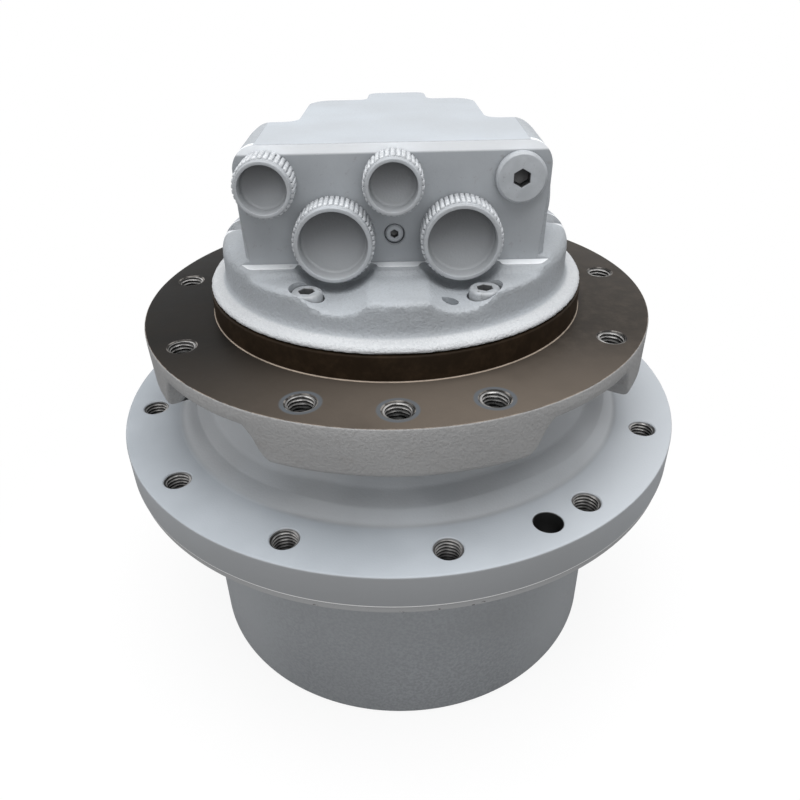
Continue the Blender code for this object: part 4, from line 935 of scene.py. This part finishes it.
cover_material = shaded("cover_paint", cover_paint)
end_cover = cast_forms()
cut(end_cover, *cover_cutters())
sealed(end_cover)
smoothed(end_cover, 38)
level_faces = end_cover.modifiers.new("level_faces", "WEIGHTED_NORMAL")
level_faces.keep_sharp = True
finished(end_cover, "frame_side", "cover_casting", cover_material, "end_cover")


# The protective caps. Grey moulded plugs close the open ports. Each has a finger-grip rim with
# ribs, a plain front lip and a deep recess that is rounded at its floor.
CAP_DEEP = 13.35
CAP_STEM = 8.0         # how far a cap reaches into its port
CAP_GAP = 0.35         # between the cap and the block
RIB_HIGH = 0.9
CAPS = (("port_cap_a", "port_cap_a_body", PORTS[0], PORT_Z, 16.95, 48),
        ("port_cap_b", "port_cap_b_body", PORTS[1], PORT_Z, 16.95, 48),
        ("pilot_port_cap", "pilot_cap_body", SMALL_PORTS[0], SMALL_PORT_Z, 12.25, 34),
        ("drain_port_cap", "drain_cap_body", SMALL_PORTS[1], SMALL_PORT_Z, 12.25, 34))


def cap_finish(place, x, y, z, reach):
    """Sprayed over plastic: satin grey, a little scuffed, with painted shade in the recess, darkest at its
    top.
    """
    cloud = noise(place, 9.0, 3.0)
    grain = noise(place, 0.8, 2.0)
    scuff = noise(place, 2.2, 4.0, 0.7).step(0.55, 0.72)
    colour = cloud.greys((158, -3), (168, -4))
    colour = (scuff * 0.3).tint(colour, grey(186, -3))
    # recess: painted shade inside the cap's recess, darker towards its top.
    recess = marked(place, "recess")
    inside = recess.step(0.0, 0.05)
    colour = inside.tint(colour, recess.step(0.1, 1.0).tint(grey(158, -3), grey(84, -2)))
    return {"Base Color": colour, "Roughness": cloud * 0.15 + 0.38, "Specular IOR Level": 0.45,
            "height": grain + cloud * 2, "depth": 0.12}


def grip_finish(place, x, y, z, reach):
    """The same grey, painted paler on the ribs as a highlight."""
    scuff = noise(place, 2.0, 3.0, 0.6)
    return {"Base Color": scuff.greys((172, -3), (204, -3)), "Roughness": 0.42, "Specular IOR Level": 0.45,
            "height": scuff, "depth": 0.1}


cap_material = shaded("cap_plastic", cap_finish)
grip_material = shaded("cap_grip", grip_finish)


def cap_rib(name, length, wide, high):
    """One finger-grip rib: a bar with a rounded back, tapered at both ends."""
    shape = bmesh.new()
    outline = [(-wide * 0.56, -0.4), (-wide * 0.5, high * 0.75), (-wide * 0.4, high), (wide * 0.4, high),
               (wide * 0.5, high * 0.75), (wide * 0.56, -0.4)]
    rings = []
    for at, lift in ((0.0, 0.5), (0.5, 1.0), (length - 0.5, 1.0), (length, 0.5)):
        rings.append([shape.verts.new((a, -b * (lift if b > 0 else 1), at)) for a, b in outline])
    for near, far in zip(rings, rings[1:]):
        bridged(shape, near, far)
    shape.faces.new(list(reversed(rings[0])))
    shape.faces.new(rings[-1])
    return mesh_piece(name, shape, grip_material, 30)


for cap_name, cap_body, cap_x, cap_z, cap_r, ribs in CAPS:
    small = cap_r < 14
    root_r = cap_r - RIB_HIGH
    lip_r = cap_r - 1.05
    mouth_r = lip_r - (1.5 if small else 1.7)
    port_r = (SMALL_PORT_R if small else PORT_R) - 0.4
    stem = [(0, -CAP_STEM), (port_r - 1, -CAP_STEM), (port_r, 1 - CAP_STEM)]
    profile = stem + softened([
        (port_r, CAP_GAP, 0), (root_r - 0.2, CAP_GAP, 0.6), (root_r, CAP_DEEP - 2.4, 0.5),
        (lip_r, CAP_DEEP - 2.2, 0.3), (lip_r, CAP_DEEP, 0.5), (mouth_r, CAP_DEEP, 0.3),
        (mouth_r - 0.4, CAP_DEEP - 6.6, 1.3), (0, CAP_DEEP - 6.8, 0)], 5, closed=False)
    cap = mesh_piece(cap_name + "_moulding", turned(profile, 96), cap_material, 40)
    depths = []
    # Points inside the recess get a value for painted shade, highest at the top of the recess.
    for vert in cap.data.vertices:
        inside = vert.co.to_2d().length < (mouth_r - 0.25) * MM and vert.co.z > 2 * MM
        depths.append(0.55 + 0.45 * vert.co.y / (mouth_r * MM) if inside else 0.0)
    mark(cap, "recess", depths)
    unit = cap_rib("rib_unit", CAP_DEEP - 3.0, 2 * math.pi * cap_r / ribs * 0.68, RIB_HIGH)
    grip = repeated(cap_name + "_grip", unit, ribs, root_r, 0, 360 / ribs)
    removed(unit)
    where = along((0, -1, 0), Vector((cap_x, BODY_FRONT, cap_z)) * MM)
    cap.data.transform(where)
    grip.data.transform(where @ Matrix.Translation((0, 0, 0.5 * MM)))
    finished(cap, cap_body, "grey_plastic", cap_material, cap_name)
    finished(grip, cap_body, "grey_plastic", grip_material)


# The end cover's screws. Six M8 socket head screws were sprayed over with the cover. The insides of
# their keys are painted darker as shade.
BOLT_HEAD = 8.0
BOLT_HEAD_R = 6.5
BOLT_KEY = 6.0
KEY_LIP = 0.35         # flare at the mouth of a key


def hexagon(across_flats, low, top, where, turn=0.0):
    """Cutter for a six-sided key below a flat top, flared at its mouth and pointed at its floor."""
    shape = bmesh.new()
    corner = across_flats / 2 / math.cos(math.pi / 6)
    rings = [[shape.verts.new(polar(reach, 60 * k + turn, height)) for k in range(6)]
             for reach, height in ((corner, low), (corner, top - KEY_LIP),
                                   (corner + 4 * KEY_LIP, top + 3 * KEY_LIP))]
    for near, far in zip(rings, rings[1:]):
        bridged(shape, near, far)
    point = shape.verts.new((0, 0, low - across_flats * 0.2))
    for k in range(6):
        shape.faces.new([point, rings[0][(k + 1) % 6], rings[0][k]])
    shape.faces.new(rings[-1])
    bmesh.ops.transform(shape, matrix=where, verts=shape.verts)
    return shape


def shade_key(piece, where, radius, top):
    """Marks the points inside a key, which are painted dark as shade, in the attribute "recess"."""
    back = (Matrix.Scale(MM, 4) @ where).inverted()
    inside = []
    for vert in piece.data.vertices:
        local = back @ vert.co
        inside.append(float(local.to_2d().length < radius and top - 9 < local.z < top - 0.2))
    mark(piece, "recess", inside)


def screw_paint(place, x, y, z, reach):
    """The cover's paint on a turned head, thin on its edges, with painted shade inside its key."""
    cloud = noise(place, 4.0, 3.0)
    bare = noise(place, 1.6, 3.0, 0.7).step(0.58, 0.68)
    colour = (bare * 0.6).tint(cloud.greys((150, -3), (170, -4)), grey(112, 2))
    colour = marked(place, "recess").tint(colour, grey(88, -1))
    return {"Base Color": colour, "Roughness": cloud * 0.15 + 0.36, "Metallic": bare * 0.5,
            "height": cloud, "depth": 0.15}


screw_material = shaded("screw_paint", screw_paint)
for number, angle in enumerate(COVER_BOLTS):
    where = Matrix.Translation(polar(COVER_BOLT_PCD_R, angle, BOLT_SEAT))
    head = softened([(4.0, 0.0, 0), (BOLT_HEAD_R, 0.0, 0.2), (BOLT_HEAD_R, BOLT_HEAD, 1.4),
                     (0, BOLT_HEAD, 0)], 4, closed=False)
    screw = mesh_piece("cover_screw_%d" % (number + 1),
                       turned([(0, -24.0), (3.4, -24.0), (4.0, -23.2)] + head, 48, where))
    cut(screw, hexagon(BOLT_KEY, BOLT_HEAD - 4.0, BOLT_HEAD, where, angle * 1.7 + 12))
    shade_key(screw, where, 4.2, BOLT_HEAD)
    smoothed(screw, 35)
    finished(screw, "frame_side", "dark_steel", screw_material, "end_cover_bolt_%d" % (number + 1))


# The plugs and valve heads of the block. The drain plug and the screw between the ports are in the
# front face, the ends of the spools and the relief valves in the sides. All were sprayed grey.
def plug_piece(name, node, profile, where, key, key_depth, sides=64):
    """Turned plug with a hexagon key in its outer face."""
    plug = mesh_piece(name, turned(profile, sides, where))
    top = profile[-1][1]
    cut(plug, hexagon(key, top - key_depth, top, where))
    shade_key(plug, where, key * 0.62, top)
    smoothed(plug, 30)
    return finished(plug, "frame_side", "zinc_plate", plug_material, node)


def plug_paint(place, x, y, z, reach):
    """Sprayed steel, thin at the edges of the keys, with painted shade inside the keys."""
    cloud = noise(place, 5.0, 3.0)
    bare = noise(place, 1.4, 3.0, 0.7).step(0.6, 0.7)
    colour = (bare * 0.4).tint(cloud.greys((160, -4), (170, -4)), grey(126, 2))
    colour = marked(place, "recess").tint(colour, grey(52, -1))
    return {"Base Color": colour, "Roughness": cloud * 0.15 + 0.36, "Metallic": bare * 0.4,
            "height": cloud, "depth": 0.12}


plug_material = shaded("plug_paint", plug_paint)
plug_piece("drain_plug", "drain_hex_plug",
           [(0, -8.0), (5.4, -8.0)] + softened(
               [(5.4, 0.35, 0), (10.25, 0.35, 0.3), (10.25, 3.1, 0.3), (9.3, 3.95, 0.3), (0, 3.95, 0)], 4,
               closed=False),
           along((0, -1, 0), (SMALL_PORTS[2], BODY_FRONT, SMALL_PORT_Z)), 6.3, 5.5, 96)
plug_piece("port_screw", "centre_orifice_plug",
           [(0, -7.5), (3.8, -7.5), (3.8, -1.0), (3.1, -0.35), (0, -0.35)],
           along((0, -1, 0), (0, BODY_FRONT, PORT_Z)), 2.9, 2.6, 48)
plug_piece("spool_plug", "counterbalance_plug",
           [(0, 54.4), (7.6, 54.4), (7.6, 63.3), (10.9, 63.3), (10.9, 66.8), (10.0, 68.0), (0, 68.0)],
           along((1, 0, 0), (0, SPOOL_Y, SPOOL_Z)), 8.0, 4.6)
plug_piece("shift_plug", "two_speed_plug",
           [(0, 33.2), (4.6, 33.2), (4.6, 41.2), (7.4, 41.2), (7.4, 43.4), (6.9, 43.9), (0, 43.9)],
           along((1, 0, 0), (0, SHIFT_Y, SHIFT_Z)), 5.0, 2.8)


# The relief valves. Each is a steel cartridge with a hexagon for the spanner and an adjuster in its
# middle, sealed into the side of the block.
def relief_piece(name, side):
    """Cartridge on its washer, spanner hexagon and adjuster, on one side of the block."""
    where = along((side, 0, 0), (side * BOSS_HALF, SHIFT_Y, RELIEF_Z))
    shape = turned([(0, -19.8), (3.9, -19.8), (4.9, -11.8), (6.1, -9.8), (6.1, 0.4), (9.3, 0.4), (9.3, 1.8),
                    (0, 1.8)], 48, where)
    turned([(0, 1.9), (8.7, 1.9), (9.4, 2.6), (9.4, 8.2), (8.6, 9.4), (0, 9.4)], 6, where, shape)
    turned([(0, 9.5), (3.9, 9.5), (3.9, 12.2), (3.3, 12.8), (0, 12.8)], 32, where, shape)
    valve = mesh_piece(name.replace("valve", "cartridge"), shape, sharp=30)
    finished(valve, "frame_side", "zinc_plate", plug_material, name)


relief_piece("relief_valve_a", -1)
relief_piece("relief_valve_b", 1)


# The gearbox cover. A dished iron plate closes the drum, held by a snap ring in a groove, with an
# O-ring at its rim and two socket plugs for filling and for the level of the oil.
COVER_SPOTS = (polar(52, 0), polar(52, 90))
COVER_SPOT_R = 9.3
SNAP_LOW = 4.75
SNAP_HIGH = SNAP_LOW + 2.1
SNAP_OUT = 101.9
SNAP_IN = 94.4
SNAP_EAR = 3.5         # how far the two ends reach in
SNAP_EYE_R = 1.3
SNAP_GAP = 4.2
SNAP_STEPS = 160


def cover_plate_paint(place, x, y, z, reach):
    """Grey paint over a turned plate, darker in patches in the corner of the dish."""
    cloud = noise(place, 30.0, 3.0)
    rings = noise(place.node("CombineXYZ", None, {0: reach * 1.6}), 1.0, 2.0)
    corner = reach.step(66, 71) * reach.fade(74, 77)
    colour = cloud.greys((150, -3), (164, -4))
    colour = (corner * cloud.step(0.3, 0.6) * 0.6).tint(colour, grey(96, 4))
    return {"Base Color": colour, "Roughness": cloud * 0.12 + 0.44, "Specular IOR Level": 0.4,
            "height": rings + cloud, "depth": 0.18}


cover_plate_material = shaded("gearbox_cover_paint", cover_plate_paint)
plate_profile = [(0, 12.2), (68.5, 12.2), (70.6, 11.6), (75.4, 9.2), (76.6, 8.75), (98.6, 8.75),
                 (99.75, 9.9), (99.75, 11.95), (97.35, 11.95), (97.35, 15.45), (99.75, 15.45), (99.75, 18.65),
                 (24, 18.65), (20, 16.7), (0, 16.7)]
plate = mesh_piece("gearbox_cover_plate", turned(plate_profile, 160))
for spot in COVER_SPOTS:
    cut(plate, rod(COVER_SPOT_R, 5.0, 22.0, 40, spot))
sealed(plate)
smoothed(plate, 28)
finished(plate, "hub_side", "hub_iron", cover_plate_material, "gearbox_cover")


def dark_steel_finish(place, x, y, z, reach):
    """Blackened steel with a thin bloom of oil and rust."""
    cloud = noise(place, 6.0, 4.0, 0.6)
    rust = noise(place, 2.5, 4.0, 0.7).step(0.62, 0.72)
    colour = (rust * 0.4).tint(cloud.greys((52,), (78, 3)), grey(92, 22))
    return {"Base Color": colour, "Roughness": cloud * 0.2 + 0.32, "Metallic": 0.6,
            "height": cloud, "depth": 0.08}


dark_steel = shaded("black_oxide", dark_steel_finish)
snap_shape = bmesh.new()
snap_rings = []
for k in range(SNAP_STEPS + 1):
    azimuth = 90 + SNAP_GAP + (360 - 2 * SNAP_GAP) * k / SNAP_STEPS
    ear = SNAP_EAR * (1 - min(1.0, min(k, SNAP_STEPS - k) / 5))
    corners = ((SNAP_IN - ear, SNAP_LOW), (SNAP_OUT, SNAP_LOW), (SNAP_OUT, SNAP_HIGH),
               (SNAP_IN - ear, SNAP_HIGH))
    snap_rings.append([snap_shape.verts.new(polar(radius, azimuth, height)) for radius, height in corners])
for near, far in zip(snap_rings, snap_rings[1:]):
    bridged(snap_shape, near, far)
snap_shape.faces.new(snap_rings[0])
snap_shape.faces.new(list(reversed(snap_rings[-1])))
snap_ring = mesh_piece("snap_ring", snap_shape)
for azimuth in (92.6 + SNAP_GAP, 87.4 - SNAP_GAP):
    cut(snap_ring, rod(SNAP_EYE_R, 2.0, 9.0, 20, polar(SNAP_IN - 1, azimuth)))
finished(snap_ring, "hub_side", "dark_steel", dark_steel, "cover_snap_ring")

for plug_name, spot in zip(("fill_plug", "level_plug"), COVER_SPOTS):
    where = Matrix.Translation(spot) @ Matrix.Rotation(math.pi, 4, "X")
    plug = mesh_piece(plug_name + "_body",
                      turned([(0, -17.6), (8.9, -17.6), (8.9, -11.2), (8.2, -10.3), (0, -10.3)], 48, where))
    cut(plug, hexagon(8.0, -15.6, -10.3, where, 20))
    smoothed(plug, 30)
    finished(plug, "hub_side", "dark_steel", dark_steel, plug_name)


# The pieces inside. Ground gears, shafts and bearings, the floating seals, the bronze valve plate,
# the brake's linings and the rubber seals keep the frame's own shapes and get their own finishes.
def ground_steel(place, x, y, z, reach):
    """Ground and oiled steel with fine marks round its axis."""
    marks = noise(place.node("CombineXYZ", None, {0: reach * 2.0, 2: z * 2.0}), 1.0, 3.0)
    cloud = noise(place, 12.0, 3.0)
    return {"Base Color": cloud.greys((176,), (196, 2)), "Metallic": 0.9, "Roughness": marks * 0.16 + 0.22,
            "height": marks, "depth": 0.03}


def bronze_finish(place, x, y, z, reach):
    """Lapped bronze, a little cloudy."""
    cloud = noise(place, 9.0, 3.0)
    return {"Base Color": cloud.step(0.3, 0.7).tint((0.42, 0.25, 0.1, 1), (0.56, 0.36, 0.16, 1)),
            "Metallic": 0.9, "Roughness": cloud * 0.2 + 0.28}


def rubber_finish(place, x, y, z, reach):
    """Black rubber."""
    cloud = noise(place, 3.0, 3.0)
    return {"Base Color": cloud.greys((20,), (34,)), "Roughness": cloud * 0.15 + 0.6}


def lining_finish(place, x, y, z, reach):
    """Flaky brown friction lining."""
    flakes = noise(place, 1.5, 3.0, 0.7)
    return {"Base Color": flakes.step(0.35, 0.65).tint(grey(58, 10), grey(96, 16)), "Roughness": 0.85,
            "height": flakes, "depth": 0.1}


steel = shaded("ground_steel", ground_steel)
bronze = shaded("bronze", bronze_finish)
rubber = shaded("rubber", rubber_finish)
lining = shaded("brake_lining", lining_finish)
INSIDE = (("bearing_lock_nut", dark_steel), ("brake_disc_spring", dark_steel), ("ball_guide", dark_steel),
          ("valve_plate", bronze), ("cover_o_ring", rubber), ("shaft_seal", rubber),
          ("brake_friction_plate", lining))
INSIDE_STEEL = ("ring_gear", "sun_1", "sun_2", "planet_1_a", "planet_1_b", "planet_1_c", "planet_2_a",
                "planet_2_b", "planet_2_c", "carrier_1", "carrier_2", "bearing_cone_low",
                "bearing_cone_high", "bearing_cup_low", "bearing_cup_high", "floating_seal_hub",
                "floating_seal_frame", "drive_shaft", "front_bearing", "rear_bearing", "swash_plate",
                "cylinder_block", "piston_and_slipper_set", "brake_separator_plate_1",
                "brake_separator_plate_2", "brake_piston", "counterbalance_spool",
                "counterbalance_spring_left", "counterbalance_spring_right", "two_speed_spool")
for node_name, finish in INSIDE + tuple((name, steel) for name in INSIDE_STEEL):
    for material_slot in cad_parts[node_name].material_slots:
        material_slot.material = finish


# The floor. A matt white disc under the unit, which takes only its soft shadow. It is clear from
# below and inside the drum's rim, so that the underside and the gearbox cover can be seen.
FLOOR_R = 1600.0
CLEAR_R = (95, 98)
floor_shape = bmesh.new()
bmesh.ops.create_circle(floor_shape, cap_ends=True, segments=64, radius=FLOOR_R)


def floor_paper(place, x, y, z, reach):
    """Nearly white paper to the camera, grey to other rays: little light goes back up at the unit."""
    seen = place.node("LightPath", out=0)
    fibre = noise(place, 30.0)
    return {"Base Color": seen.tint(grey(150), fibre.tint(grey(250), grey(253))), "Roughness": 0.9}


floor_material = shaded("floor_paper", floor_paper)
floor_sheet = mesh_piece("floor_sheet", floor_shape, floor_material)
floor_tree = floor_material.node_tree
floor_start, _, _, _, floor_reach = coordinates(floor_material)
camera_ray = floor_start.node("LightPath", out=0)
lit = floor_start.node("Emission", None, {"Color": (1, 1, 1, 1), "Strength": 1.0})
share = camera_ray * (floor_reach.step(130, 330) * 0.12 + 0.88)
paper = Wire(floor_tree, floor_tree.nodes["Principled BSDF"].outputs[0])
both = floor_start.node("MixShader", None, {0: share, 1: paper, 2: lit})
from_below = floor_start.node("NewGeometry", out=6)
clear = floor_start.node("BsdfTransparent", None, {"Color": (1, 1, 1, 1)})
inside_drum = floor_reach.fade(*CLEAR_R)
both = floor_start.node("MixShader", None, {0: from_below.most(inside_drum), 1: both, 2: clear})
floor_tree.links.new(both.socket, floor_tree.nodes["Material Output"].inputs["Surface"])
